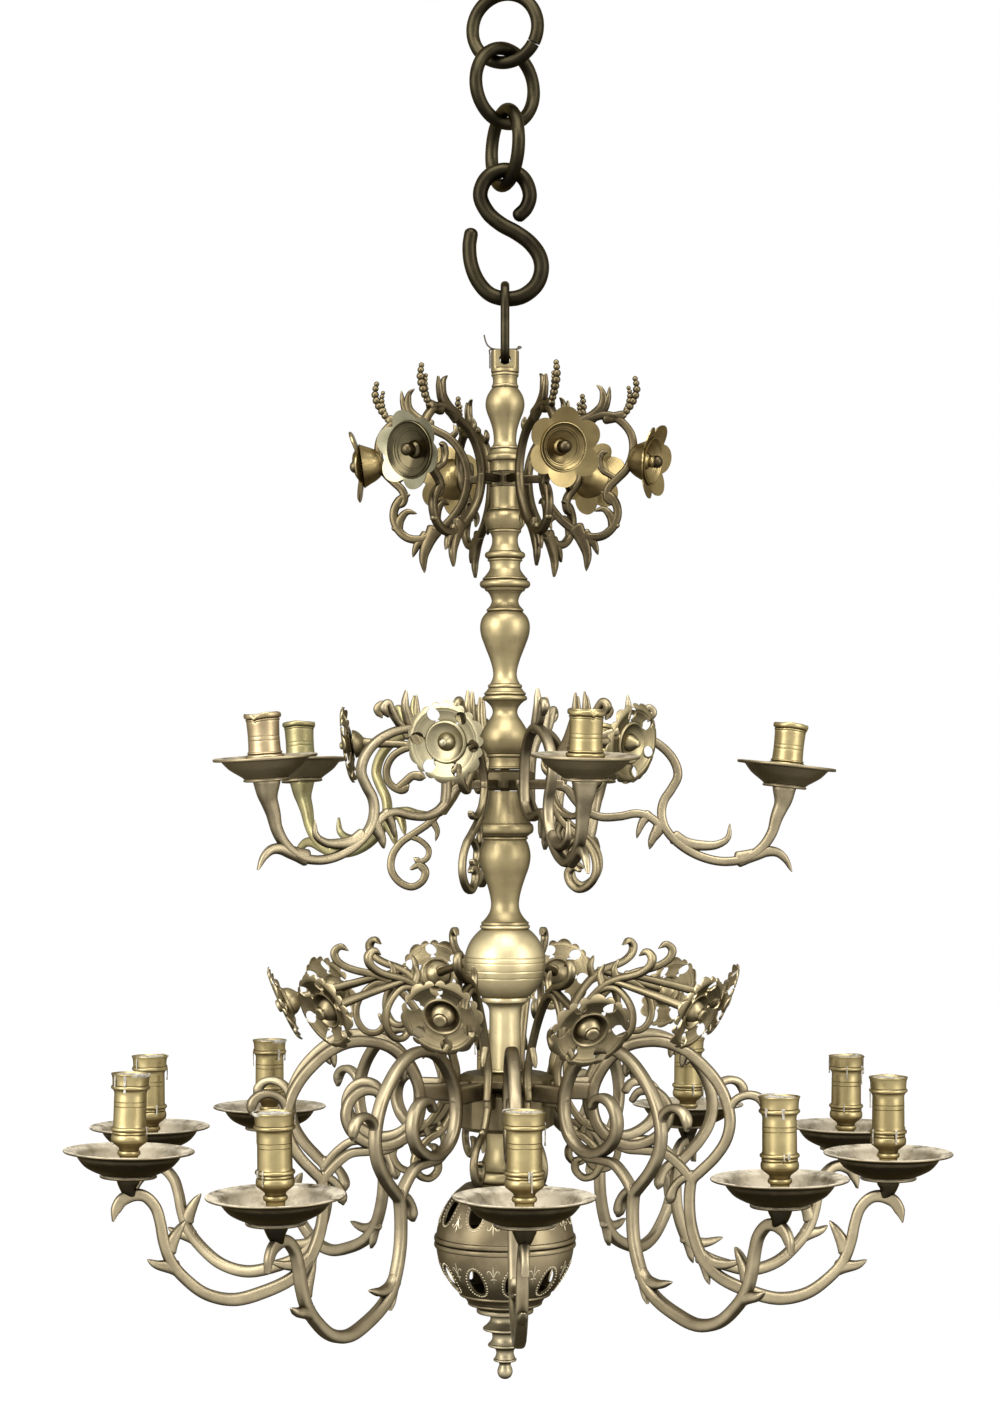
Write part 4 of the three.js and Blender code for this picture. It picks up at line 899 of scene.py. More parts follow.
EQUATOR_EDGE = 4.6  # degrees from the equator, where the ridged rim covers the bowl's edge
print("a whole bowl has", len(pierced_bowl(1, EQUATOR_EDGE, 54.0)[0]), "points")

# %% [markdown]
# ## Beads, lilies and rims
# Punched beads ring every oval, and a lily stands between neighbours. A bump in the finish could suggest
# them, but not at the globe's outline. So each is a small raised shape, drawn flat and bent onto the
# sphere. The rims are turned, as they were on the lathe.

# %% Beads, lilies and rims
BEADS_PER_OVAL, BEAD_OFFSET = 30, 2.7
LILY_LATITUDE, LILY_LIFT = 20, 0.1
STEM_WIDTH, LEAF_WIDTH = [(0, 0.4), (0.7, 0.9), (1, 0.3)], [(0, 0.5), (0.6, 0.9), (1, 0.4)]
LEAF = np.array([(0, -6), (1.6, 0), (4.4, 4.4), (6.8, 3.4), (6.4, 0.8)])
LILY_STROKES = [
    ([(0, -12), (0, -4), (0, 5), (0, 10)], STEM_WIDTH), (LEAF * [-1, 1], LEAF_WIDTH), (LEAF, LEAF_WIDTH),
    ([(-3.2, -6.4), (0, -5.6), (3.2, -6.4)], 0.7)]


def dome_bead(radius, height, sides=8):
    """A small half round, as a punch leaves it: three rings and a top, about the third axis."""
    angle = full_turn(sides)
    x, y = radius * np.cos(angle), radius * np.sin(angle)
    rings = [np.column_stack([x * share, y * share, np.full(sides, height * rise)])
             for share, rise in ((1.0, -0.3), (0.92, 0.35), (0.55, 0.85))]
    return skin(np.stack(rings))


def on_globe(part, longitude, latitude, spin=0.0, lift=0.0):
    """A small part drawn flat (right, up, out) laid on the globe at a longitude and latitude."""
    cs, sn = math.cos(spin), math.sin(spin)
    right, up, out = part[0].T
    right, up = right * cs - up * sn, right * sn + up * cs
    lat = latitude + up / GLOBE_RADIUS
    lon = longitude + right / (GLOBE_RADIUS * math.cos(latitude))
    return outward((sphere_points(lon, lat, GLOBE_RADIUS + lift + out), part[1], part[2]))


def lily():
    """Four raised strokes: a stem, two curled leaves and a tie, drawn flat."""
    strokes = [bar(points, half, 0.55, step=1.1, sides=6, squareness=2) for points, half in LILY_STROKES]
    points, quads, triangles = joined(strokes)
    return outward((points[:, [0, 2, 1]], quads, triangles))


def ornament(sign):
    """A ring of beads round each oval, and a lily between neighbours that points to the pole."""
    bead_shape, lily_shape = dome_bead(1.25, 0.75), lily()
    spin = math.pi if sign > 0 else 0
    parts = []
    for i in range(HOLES):
        lon = math.radians(FIRST_HOLE + HOLE_PITCH * i)
        for turn in full_turn(BEADS_PER_OVAL):
            x = (HOLE_HALF_WIDTH + BEAD_OFFSET) * math.sin(turn)
            y = (HOLE_HALF_LENGTH + BEAD_OFFSET) * math.cos(turn)
            lat = math.radians(HOLE_LATITUDE) * sign + y / GLOBE_RADIUS
            parts.append(on_globe(bead_shape, lon + x / (GLOBE_RADIUS * math.cos(lat)), lat))
        lily_lon, lily_lat = lon + math.radians(HOLE_PITCH / 2), math.radians(LILY_LATITUDE) * sign
        parts.append(on_globe(lily_shape, lily_lon, lily_lat, spin, LILY_LIFT))
    return parts


c = GLOBE_CENTRE
upper_rims = [
    [[(c + 6.8, 78.9), (c + 6.6, 81.0)], bead(c + 6.6, c + 0.4, 80.2, 81.7),
     [(c + 0.2, 76.6), (c + 6.6, 76.6)]],
    [[(-1360.5, 43.0)], bead(-1361.0, -1364.6, 44.5, 46.8), [(-1365.0, 45.6), (-1366, 44)]]]
lower_rims = [
    [[(c - 0.2, 76.6)], bead(c - 0.4, c - 6.6, 80.2, 81.7), [(c - 6.8, 78.9), (c - 6.6, 76.6)]],
    [[(-1483.0, 54.2)], bead(-1483.2, -1487.6, 51.0, 53.0),
     run([(-1488, 49.6), (-1491, 45.8), (-1494.6, 43.4)]), bead(-1494.8, -1498.2, 41.6, 43.0),
     run([(-1498.4, 38.2), (-1500, 34.6), (-1501.4, 33.2)])]]
for half, sign, pole_edge, rims in (("upper", 1, 54.0, upper_rims), ("lower", -1, 48.0, lower_rims)):
    parts = [pierced_bowl(sign, EQUATOR_EDGE, pole_edge), *ornament(sign), *(turned(rim, 96) for rim in rims)]
    make(f"globe_bowl_{half}", parts, globe_brass, f"globe_{half}")

# %% [markdown]
# ## The chain
# Three forged rings hang in one another, and an S hook hangs in the last. They are dark bronze, round
# in section and a little uneven from the hammer. A ring is a circle carried round a circle, and a slow
# wave on its thickness is enough to take away the look of a machine part.

# %% Three rings
RING_BAR, CUT_PLACE = 7.5, 2.1


def forged_ring(radius, centre, turn_degrees, seed, gap=0.0, around=96, sides=20):
    """A circle of bar: the thickness swells and shrinks in slow waves, and a cut ring has a gap."""
    phase = np.random.default_rng(seed).uniform(0, 2 * math.pi, 4)
    t = np.linspace(0, 2 * math.pi - gap / radius, around) + CUT_PLACE if gap else full_turn(around)
    thick = RING_BAR * (1 + 0.012 * np.sin(3 * t + phase[0]) + 0.009 * np.sin(7 * t + phase[1]))[:, None]
    line = radius * (1 + 0.006 * np.sin(2 * t + phase[2]))
    a = full_turn(sides)
    away = line[:, None] + thick * np.cos(a)
    across = thick * np.sin(a)
    x, z = away * np.sin(t)[:, None], centre + away * np.cos(t)[:, None]
    c, s = math.cos(math.radians(turn_degrees)), math.sin(math.radians(turn_degrees))
    return skin(np.stack([x * c - across * s, x * s + across * c, z], axis=2), wrap_rows=not gap)


for name, ring, node, body in [
        ("ring_top", forged_ring(39, -31.5, -16, 1, gap=1.6), "chain_link_top", "top_link"),
        ("ring_middle", forged_ring(43.15, -97.9, 40, 2), "chain_link_middle", "middle_link"),
        ("ring_low", forged_ring(43.15, -168.7, -69, 3), "chain_link_lower", "lower_link")]:
    make(name, ring, chain_bronze_and_shade, node, body=body)

# %% [markdown]
# ## The hook and the loop
# The S hook and the loop through the shaft's eye were bent hot from bar. A curve with a round bevel would
# nearly do for the hook. The bar from above serves both: its width can swell along the hook, and it can
# close on itself for the loop.

# %% Hook and wrought loop
HOOK_EYE_RADIUS, HOOK_HEIGHT, HOOK_FOOT = 28.5, 148, -342.4
eye_turns = np.radians([146, 122, 90, 45, 0, -45, -90])
hook_points = np.column_stack([HOOK_EYE_RADIUS * np.sin(eye_turns),
                               HOOK_HEIGHT - HOOK_EYE_RADIUS + HOOK_EYE_RADIUS * np.cos(eye_turns)])
hook_points = np.vstack([hook_points, [
    (-20, 99.5), (-5, 86), (13, 76), (29, 64), (39.5, 49), (42, 33), (36, 16), (20, 3), (2, 0), (-17, 5),
    (-31, 20), (-39, 40), (-41, 60), (-39, 75)]])
hook_bar = bar(hook_points, [(0, 8.3), (0.3, 8.7), (0.7, 8.9), (1, 8.1)], step=2.6, sides=20, squareness=2)
make("hook_bar", moved(hook_bar, 0, 0, HOOK_FOOT), chain_bronze_and_shade, "s_hook", body="hook")

LOOP_FOOT, LOOP_HEIGHT, LOOP_SIDE = -412.2, 84.65, 22.5
loop_side = [(11.5, 0), (LOOP_SIDE - 3, 3.4), (LOOP_SIDE, 14), (LOOP_SIDE, 40), (LOOP_SIDE, 54.15),
             (16, LOOP_HEIGHT - 7), (0, LOOP_HEIGHT)]
loop_points = loop_side + [(-y, z) for y, z in loop_side[:-1]][::-1]
loop_bar = bar(loop_points, 5.2, step=2.2, sides=16, squareness=2.2, closed=True)
make("loop_bar", aimed(moved(loop_bar, 0, 0, LOOP_FOOT), 0), chain_bronze_and_shade, "suspension_loop",
     body="loop")

# %% [markdown]
# ## The keeper wire
# Someone tied a thin iron wire across the head, through the loop, long after the chandelier was made.
# It is a fine tube along a smooth line in space.

# %% Keeper wire
def wire_tube(points, radius, sides=8, step=1.2):
    """A tube along a line in space: each ring lies across the line, set out from two directions that are
    square to it."""
    line = smooth_line(points, step)
    ahead = np.gradient(line, axis=0)
    ahead /= np.linalg.norm(ahead, axis=1, keepdims=True)
    side = np.cross(ahead, np.array([0.31, 0.9, 0.3]))
    side /= np.linalg.norm(side, axis=1, keepdims=True)
    other = np.cross(ahead, side)
    a = full_turn(sides)[:, None]
    return skin(line[:, None] + radius * (side[:, None] * np.cos(a) + other[:, None] * np.sin(a)))


HEAD_TOP, WIRE_LIE = -402.4, 1.3
wire_route = [(-24, -3, 18), (-22.4, -3, 11), (-20, -3, 6), (-15, -3, WIRE_LIE + 1), (-9, -3, WIRE_LIE),
              (4, -3, WIRE_LIE), (15, -3, WIRE_LIE + 0.6), (18.5, -1, WIRE_LIE + 2.4), (16, 2, WIRE_LIE + 4),
              (13, 3.5, WIRE_LIE + 0.8), (4, 3.5, WIRE_LIE), (-12, 3.5, WIRE_LIE),
              (-17.7, 3, WIRE_LIE + 0.5), (-17.4, 2, -4), (-17.4, 0, -20)]
make("keeper_wire", moved(wire_tube(wire_route, 0.95), 0, 0, HEAD_TOP), iron, None)

# %% [markdown]
# ## Bars, leaf tips and pearls
# Arms and branches are cast in one plane, as flat scrolls with softened edges. Their small parts repeat:
# a leaf tip that tapers to a point, a square tenon, and pearls strung along a line. All are drawn as
# distance from the shaft and height, in the plane of the arm.

# %% Small cast forms
PEARL_STEP, PEARL_GAP = 0.5, 1.5
BRANCH, BRANCH_ACROSS = 3.9, 3.8
SCROLL = [(0, 0.5), (0.06, 1.0), (0.88, 1.0), (0.95, 1.15), (1, 0.5)]
BLUNT = [(0, 1.0), (0.92, 1.0), (1, 0.5)]
BEAKED = [(0, 1.0), (0.84, 1.0), (0.92, 1.12), (0.97, 0.8), (1, 0.12)]
THORN = [(0, 1.6), (0.15, 1.35), (0.45, 1.1), (0.75, 0.75), (0.92, 0.42), (1, 0.14)]
THORN_ACROSS = [(0, 1.1), (0.5, 1.0), (0.8, 0.8), (1, 0.4)]
ROLLED = [(0, 1.0), (0.55, 1.0), (0.82, 1.2), (0.93, 0.95), (1, 0.25)]


def times(size, shares):
    """A width that follows the given shares of a size along the bar."""
    return [(t, size * share) for t, share in shares]


def scroll(points, half=BRANCH, across=BRANCH_ACROSS, ends=SCROLL):
    """A cast scroll: a softened bar whose width follows `ends`; across the plane it thins half as much."""
    thin = [(t, min(1, 0.5 + 0.5 * share)) for t, share in ends]
    return bar(points, times(half, ends), times(across, thin), 2.0, 12, 3.0)


def leaf_tip(points, root, depth):
    """A thorn of acanthus: it flares where it leaves the scroll and narrows to its point."""
    return bar(points, times(root, THORN), times(depth, THORN_ACROSS), 1.6, 12, 2.6)


def curl(points, half, across):
    """A leaf that rolls over: it keeps its width nearly to the end, swells and closes in a beak."""
    return bar(points, times(half, ROLLED), [(0, across), (0.85, across), (1, across * 0.5)], 1.6, 12, 2.8)


def tenon(start, end, height, width, middle):
    """A square bar from the collar's flat into the casting."""
    return bar([(start, middle), ((start + end) / 2, middle), (end, middle)], height / 2, width / 2, 3, 16, 7)


def ball(radius, centre, sides=12, rings=7):
    """A sphere of rings, each as wide as the sphere is at its height."""
    rise = np.linspace(-0.96, 0.96, rings)[:, None]
    wide = np.sqrt(1 - rise ** 2)
    angle = full_turn(sides)
    upright = np.broadcast_to(rise, (rings, sides))
    sphere = np.stack([wide * np.cos(angle), wide * np.sin(angle), upright], axis=2)
    return skin(sphere * radius + np.array([centre[0], 0, centre[1]]))


def pearls(points, sizes):
    """Balls strung along a smooth line; each touches the next, and its radius follows `sizes`."""
    line = smooth_line(points, PEARL_STEP)
    length = PEARL_STEP * (len(line) - 1)
    string, at = [], 0.0
    while at < length:
        radius = float(np.interp(at / length, *zip(*sizes)))
        string.append(ball(radius, line[int(at / PEARL_STEP)]))
        at += PEARL_GAP * radius
    return string


def lying(part):
    """Lays a part that was turned about the upright axis along the arm, its top outwards."""
    x, y, z = part[0].T
    return outward((np.column_stack([z, y, -x]), part[1], part[2]))


def stood(parts, azimuth, droop=None, root=None):
    """Parts of an arm's plane stood out at their azimuth, after they lean about their root where asked."""
    if droop is not None:
        parts = [tilted(part, droop, *root) for part in parts]
    return [aimed(part, azimuth) for part in parts]


print("a pearl has", len(ball(1, (0, 0))[0]), "points")

# %% [markdown]
# ## Flowers of the top tier
# A top flower is a deep dish with six rounded petals and a knob. A flat disc could be bent into it with
# modifiers. But each petal's rim is part of a circle, which is exact in a polar sheet: rows of radii and
# columns of angles, pushed forward by a profile, with a second skin behind.

# %% Plain flower of the top tier
PETALS = 6
PETAL_PITCH = 2 * math.pi / PETALS
PETAL_OUT, PETAL_ROUND, FLOWER_RADIUS = 27, 17, 44
DISH_ROWS, DISH_COLUMNS, PETAL_ROWS, PETAL_COLUMNS = 44, 96, 20, 120
DISH_FLOOR, DISH_DEPTH, DISH_POWER = 4.2, 10.2, 1.9  # height in the middle, rise to the rim and its power
PETAL_FOOT, PETAL_SLOPE, PETAL_CUP = 13.4, 0.30, 2.2  # height at the bowl's rim, rise outwards, cupping
OVERLAP = 1.2  # how far the petals reach in under the bowl's rim
BOWL_RINGS = ((0.72, 0.4, 0.6), (0.8, 0.4, 0.6), (1, 1.1, 0.7))  # place as a share, height, width
KNOB = [(2, 9.4), (5, 10.0), (7.6, 9.4), (9.6, 7.6), (11, 6.4), (13, 6.6), (15, 6.0), (16.6, 4.2),
        (17.4, 1.0)]
CALYX = [(-14, 6.6), (-13, 10.4), (-10, 14.6), (-4, 18.8), (3, 22), (8, 24.4), (10.5, 25.8)]
CALYX_INSIDE = [(10.9, 25), (8, 21.8), (3, 17), (0.5, 9)]


def plate(forward, radius, angle, thickness, whole=True):
    """A polar sheet that stands `forward` at each radius and angle, as thick as given: its points, and the
    same points moved back along the flower's axis. A sheet that isn't whole has two side edges."""
    front = np.stack([forward, radius * np.cos(angle), radius * np.sin(angle)], axis=2)
    faces = grid_faces(*radius.shape, wrap_columns=whole)
    front = front.reshape(-1, 3)
    return walled(front, front - np.array([thickness, 0, 0]), faces, NO_TRIANGLES)


def plain_flower(ring, spin):
    """A bowl as wide as `ring`, with fine rings, then petals: the rim is a circle of 17 mm about a point
    27 mm out, seen from the middle. The petals cup forward a little. `spin` turns the flower in its plane.
    Gives the bowl with its knob, and the petals with the calyx behind them."""
    dish = np.broadcast_to(np.linspace(4, ring + 0.9, DISH_ROWS)[:, None], (DISH_ROWS, DISH_COLUMNS))
    forward = DISH_FLOOR + DISH_DEPTH * (dish / ring) ** DISH_POWER
    for share, height, width in BOWL_RINGS:
        forward = forward + height * np.exp(-((dish - ring * share) / width) ** 2)
    bowl = plate(forward, dish, full_turn(DISH_COLUMNS), 1.6)
    angle = full_turn(PETAL_COLUMNS)
    off = from_nearest(angle - math.radians(spin), PETAL_PITCH)
    rim = PETAL_OUT * np.cos(off) + np.sqrt(PETAL_ROUND ** 2 - (PETAL_OUT * np.sin(off)) ** 2)
    radius = ring - OVERLAP + np.linspace(0, 1, PETAL_ROWS)[:, None] * (rim - ring + OVERLAP)
    across_petal = np.abs(np.degrees(off)) / 30
    cupped = np.clip((radius - ring) / (FLOWER_RADIUS - ring), 0, 1) * (0.5 - across_petal ** 2)
    petals = plate(PETAL_FOOT + PETAL_SLOPE * (radius - ring) + PETAL_CUP * cupped, radius, angle, 1.5)
    knob = turned([run(KNOB, 0.8)], 32)
    calyx = turned([run(CALYX, 1.6), run(CALYX_INSIDE, 1.6)], 36)
    return [bowl, lying(knob)], [petals, lying(calyx)]


def flower_at(parts, nod, reach, rise, turn=0):
    """A flower that nods, is turned about the upright through its middle, and is moved to its rod's end."""
    s, c = math.sin(math.radians(turn)), math.cos(math.radians(turn))
    turned_by = np.array([[c, s, 0], [-s, c, 0], [0, 0, 1]])
    nodding = [tilted(part, nod, 0, 0) for part in parts]
    return [moved((part[0] @ turned_by, part[1], part[2]), reach, 0, rise) for part in nodding]


print("petals of", len(plain_flower(26.0, 0)[1][0][0]), "points")

# %% [markdown]
# ## Pierced rosettes
# The flowers of the middle and lower tiers are six fans round a spun hub, with two round holes and a slit
# between each pair. The holes could be drilled through a whole disc. But they touch the gaps between the
# fans, so each fan is a sheet of its own whose sides follow the holes.

# %% Pierced rosette of the middle and lower tiers
ROSETTE_HOLES = ((33.2, 7.2), (22.6, 3.5))  # place and radius of the round holes between two fans
SLIT_HALF = 0.6
FAN_SLANT = 25.5  # degrees from a fan's middle to its side at the rim
MIDDLE_LOBE, MIDDLE_LOBE_END = 5.0, 11.5
SIDE_LOBE, SIDE_LOBE_AT, SIDE_LOBE_HALF = 3.6, 18.5, 7
RIM_LOW = 41.0
RIDGES, RIDGE_HEIGHT, RIDGE_WIDTH = (34.6, 37.8), 0.16, 0.35
FAN_ROWS = [18.6, 19.4, 20.2, 21, 22, 23, 24, 25, 25.8, 26.4, 27.2, 28.2, 29.4, 31, 32.6, 33.8, 34.3, 34.6,
            34.9, 35.4, 36.2, 37, 37.5, 37.8, 38.1, 38.6]
FAN_PROFILE = [(18.6, 6.6), (20, 7.4), (24, 7.6), (30, 9.0), (34, 10.6), (38, 12.0), (40, 12.0), (43, 10.8),
               (46, 8.6)]
SHALLOW_HUB = [(5.2, 4), (5.5, 9), (6.4, 14), (7.8, 17.6), (9.2, 20), (10.0, 21.2), (10.3, 21.9), (9.8, 22.8),
               (8.8, 24)]
DEEP_HUB = [(-0.6, 4), (-0.2, 9), (1.4, 13), (4.0, 16), (6.4, 17.8), (7.6, 18.8), (8.2, 19.8), (8.3, 20.6),
            (7.8, 21.6)]
CONE_KNOB = [(3.4, 9.6), (6, 10.2), (8, 9.8), (11, 8.2), (14, 6.2), (16.5, 4.6), (18.6, 3.4), (19.4, 1.2)]
DOME_KNOB = [(-1, 12.4), (2, 13.6), (6, 13.2), (10, 11.0), (12.2, 8.8), (13, 7.8), (16.6, 7.4), (17.8, 6.4),
             (18, 1)]
BACK_DOME = [(-12, 5.4), (-9.5, 6.2), (-7.6, 9), (-5.2, 12), (-2.2, 14.6), (1.4, 16.4)]


def gap_half(radius):
    """Half the gap between two fans at a distance from the middle: the chords of two holes, or the slit."""
    chords = [np.sqrt(np.maximum(size ** 2 - (radius - place) ** 2, 0)) for place, size in ROSETTE_HOLES]
    return np.maximum(np.maximum(*chords), np.where(radius > ROSETTE_HOLES[1][0], SLIT_HALF, 0))


def lobe(slant, height, place, half):
    """A lobe of the rim: a half wave of a cosine, a little fuller."""
    return height * np.abs(np.cos(np.radians((slant - place) * 90 / half))) ** 0.7


def fan(turn, columns=31, outer_rows=5):
    """One of the six fans. Its sides follow the holes; its rim has a wide lobe and two narrow ones, and is
    rolled back beyond a fine double ridge."""
    across = np.linspace(-1, 1, columns)
    slant = np.abs(across) * FAN_SLANT
    rim = RIM_LOW + np.where(slant < MIDDLE_LOBE_END, lobe(slant, MIDDLE_LOBE, 0, MIDDLE_LOBE_END),
                             lobe(slant, SIDE_LOBE, SIDE_LOBE_AT, SIDE_LOBE_HALF))
    share = np.linspace(0, 1, outer_rows + 1)[1:, None]
    common = np.broadcast_to(np.array(FAN_ROWS)[:, None], (len(FAN_ROWS), columns))
    radius = np.vstack([common, FAN_ROWS[-1] + share * (rim - FAN_ROWS[-1])])
    angle = turn + across * (PETAL_PITCH / 2 - gap_half(radius) / radius)
    forward = np.interp(radius, *zip(*FAN_PROFILE))
    for ridge in RIDGES:
        forward += RIDGE_HEIGHT * np.exp(-((radius - ridge) / RIDGE_WIDTH) ** 2)
    return plate(forward, radius, angle, 1.6, whole=False)


def rosette(hub_profile, knob_profile, spin):
    """Six fans round a spun hub, with the knob in its middle and a dome behind, turned by `spin` in its
    plane."""
    fans = [fan(math.radians(spin + turn * 60)) for turn in range(PETALS)]
    hub_run = run(hub_profile, 0.8)
    forward, radius = (np.broadcast_to(hub_run[:, k, None], (len(hub_run), 60)) for k in (0, 1))
    knob = turned([run(knob_profile, 0.9)], 32)
    dome = turned([run(BACK_DOME, 1.0), [(2.2, 16.2), (-1.4, 11), (-5.4, 5)]], 40)
    return [*fans, plate(forward, radius, full_turn(60), 1.7), lying(knob), lying(dome)]


print("one fan has", len(fan(0)[0]), "points")

# %% [markdown]
# ## Top branches
# A branch is a scroll that stands out from its flat, with leaf tips where the founder's pattern had
# acanthus, and it carries one flower on a short rod. All branches of a tier came from one pattern, so one
# set of parts serves the whole tier, turned to each azimuth. A top branch has two facing C scrolls, a
# curl in the upper one, broad leaves above and below, the rod, and pearls.

# %% Top branches
TOP_TIER = -550.4
top_branch = [
    tenon(14.8, 45, 9, 8, TOP_TIER),
    scroll([(43, -548), (44, -538), (48, -525), (56, -511), (67, -500), (80, -493), (94, -485), (110, -479),
            (124, -480), (136, -488), (145, -500), (148, -514), (146, -528), (140, -541), (129, -552),
            (120, -561), (117, -570), (119, -577), (125, -580)], 4.8, 4.8, ends=BLUNT),
    scroll([(43, -548), (45, -562), (50, -577), (60, -592), (72, -604), (86, -613), (100, -618), (114, -616),
            (125, -606), (130, -592), (128, -580), (120, -570), (111, -566)], 4.9, 4.8, ends=BEAKED),
    leaf_tip([(126, -606), (122, -594), (114, -586), (103, -588)], 4.4, 4.4),
    curl([(129, -552), (121, -547), (113, -542), (109, -531), (112, -522), (118, -521)], 3.6, 4.0),
    leaf_tip([(88, -488), (104, -478), (113, -466), (112, -450), (106, -444)], 5.6, 4.4),
    leaf_tip([(100, -482), (114, -472), (119, -460), (121, -446)], 4.2, 4.2),
    scroll([(116, -483), (128, -481), (138, -479)], 6.0, 4.8, ends=BLUNT),
    leaf_tip([(82, -607), (90, -622), (95, -638), (94, -656)], 6.2, 4.8),
    leaf_tip([(92, -614), (102, -624), (107.5, -638)], 4.6, 4.2),
    leaf_tip([(64, -502), (57, -494), (60, -486)], 3.2, 3.6),
    leaf_tip([(60, -590), (52, -599), (54, -609)], 3.2, 3.6),
    bar([(146, -531), (156, -532), (176, -533)], [(0, 4.8), (1, 7.2)], None, 2, 16, 2),
]
top_pearls = [*pearls([(134, -483), (142, -472), (149, -460), (152, -448), (150, -437)],
                      [(0, 3.4), (0.3, 4.6), (0.7, 4.8), (1, 3.2)]),
              *pearls([(138, -476), (143, -465), (144, -454), (142, -446)], [(0, 3.0), (0.5, 3.8), (1, 2.4)])]
DISH, WIDE_DISH = 26.0, 30.5
TOP_SPINS, TOP_TURNS = [30, 12, 44, 20, 50, 38], [0, -16, 0, 0, 12, 0]
TOP_FLOWER = (8, 157, -531)  # nod in degrees, reach and height
for i, (spin, turn) in enumerate(zip(TOP_SPINS, TOP_TURNS)):
    dark = i == 5
    bowl, petals = plain_flower(WIDE_DISH if dark else DISH, spin)
    for name, parts, finish, crisp in [
            ("branch", top_branch, top_branch_shaded_brass, 40), ("pearls", top_pearls, pearl_shaded_brass, 40),
            ("bowl", flower_at(bowl, *TOP_FLOWER, turn), dark_dish_brass if dark else gold_brass, 50),
            ("petals", flower_at(petals, *TOP_FLOWER, turn), silver_brass if dark else gold_brass, 50)]:
        make(f"top_{name}_{i + 1}", stood(parts, TOP_FIRST + 60 * i), finish,
             f"top_flower_branch_{i + 1}", crisp)

# %% [markdown]
# ## Middle flower branches
# A middle branch has a stem that rises to the rod and falls to a volute, an inner C scroll and upright
# leaves. Linked copies of one mesh could serve all five, but their flowers are turned in their own plane,
# so each is joined from the same parts anew.

# %% Middle flower branches
MIDDLE_TIER = -901.1
middle_branch = [
    tenon(34.4, 66, 11, 9, MIDDLE_TIER),
    scroll([(98, -858), (86, -862), (76, -873), (68, -888), (64, -903), (70, -922), (85, -943), (104, -957),
            (120, -968), (130, -983), (131, -1000), (121, -1014), (107, -1019), (95, -1012), (92, -1001),
            (99, -994), (108, -998)], 4.4, 4.4),
    scroll([(112, -960), (97, -966), (88, -976), (90, -986), (98, -990), (104, -986)], 3.4, 3.8),
    scroll([(64, -908), (75, -927), (88, -936), (101, -937), (108, -932)], 3.4, 3.8),
    scroll([(101, -857), (116, -860), (130, -869), (137, -885), (133, -900), (119, -908), (112, -902)],
           4.4, 4.4),
    curl([(124, -906), (115, -898), (106, -891), (92, -893)], 5.0, 4.4),
    bar([(92, -858), (115, -855), (150, -853.5), (168, -853)], [(0, 4.2), (0.5, 4.6), (1, 6.0)],
        None, 2, 16, 2.2),
    leaf_tip([(84, -866), (94, -845), (101, -822), (102, -798)], 5.2, 4.4),
    leaf_tip([(98, -856), (109, -837), (116, -816), (115, -797)], 4.6, 4.2),
    curl([(112, -846), (122, -832), (132, -818), (141, -809), (147, -814), (142, -824)], 4.4, 4.2),
    leaf_tip([(84, -942), (78, -955), (80, -966)], 3.2, 3.4),
    leaf_tip([(66, -890), (58, -884), (54, -874)], 3.0, 3.4),
]
MIDDLE_SPINS = [12, 40, 30, 0, 22]
MIDDLE_FLOWER, MIDDLE_FLOWER_FIRST = (8, 172, -854), 51
for i, spin in enumerate(MIDDLE_SPINS):
    azimuth, node = MIDDLE_FLOWER_FIRST + 72 * i, f"middle_flower_branch_{i + 1}"
    make(f"middle_branch_{i + 1}", stood(middle_branch, azimuth), branch_brass, node)
    flower = flower_at(rosette(SHALLOW_HUB, CONE_KNOB, spin), *MIDDLE_FLOWER)
    make(f"middle_flower_{i + 1}", stood(flower, azimuth), pale_brass if i == 4 else flower_brass, node,
         50)

# %% [markdown]
# ## Lower flower branches
# A lower branch has a tall S stem with a hooked leaf, a spiral loop, a long rod and a volute that hangs
# below. Five are cast with each of the collar's two rings, which are drums of twenty flats. Some were bent
# in use, and a tilt about the root is the plainest way to bend them again.

# %% Lower flower branches
lower_branch = [
    scroll([(75, -1255), (72, -1242), (71, -1225), (76, -1208), (83, -1191), (97, -1165), (115, -1141),
            (135, -1124), (152, -1117), (168, -1113), (181, -1108), (191, -1100), (193, -1091), (186, -1085),
            (177, -1090)], 4.4, 4.6, ends=BEAKED),
    scroll([(113, -1144), (128, -1131), (145, -1128), (158, -1136), (168, -1152), (168, -1170), (158, -1183),
            (145, -1184), (137, -1174), (143, -1164)], 3.9, 4.2),
    scroll([(70, -1244), (70, -1258), (78, -1275), (92, -1292), (110, -1300), (124, -1311), (130, -1325),
            (122, -1340), (108, -1344), (97, -1336), (98, -1326), (106, -1323)], 4.2, 4.2),
    bar([(140, -1119), (160, -1124), (200, -1134), (237, -1144)], [(0, 4.0), (0.5, 4.6), (1, 5.6)],
        None, 2.4, 16, 2.2),
    leaf_tip([(82, -1198), (89, -1206), (94, -1216)], 3.6, 3.8),
    leaf_tip([(94, -1289), (89, -1303), (92, -1313)], 3.4, 3.6),
    leaf_tip([(130, -1127), (126, -1114), (131, -1102)], 3.6, 3.8),
]
LOWER_FLOWER, LOWER_FLOWER_FIRST = (24, 243, -1145.2), 20.5
LOWER_BRANCH_ROOT, LOWER_FLOWER_DROOPS = (75, -1250), [4.5, 1, 0, 1, -4.5, -4.5, 0, 1, 0, 0]
LOWER_FIRST = 2.5  # azimuth of the first flat, and of the first arm
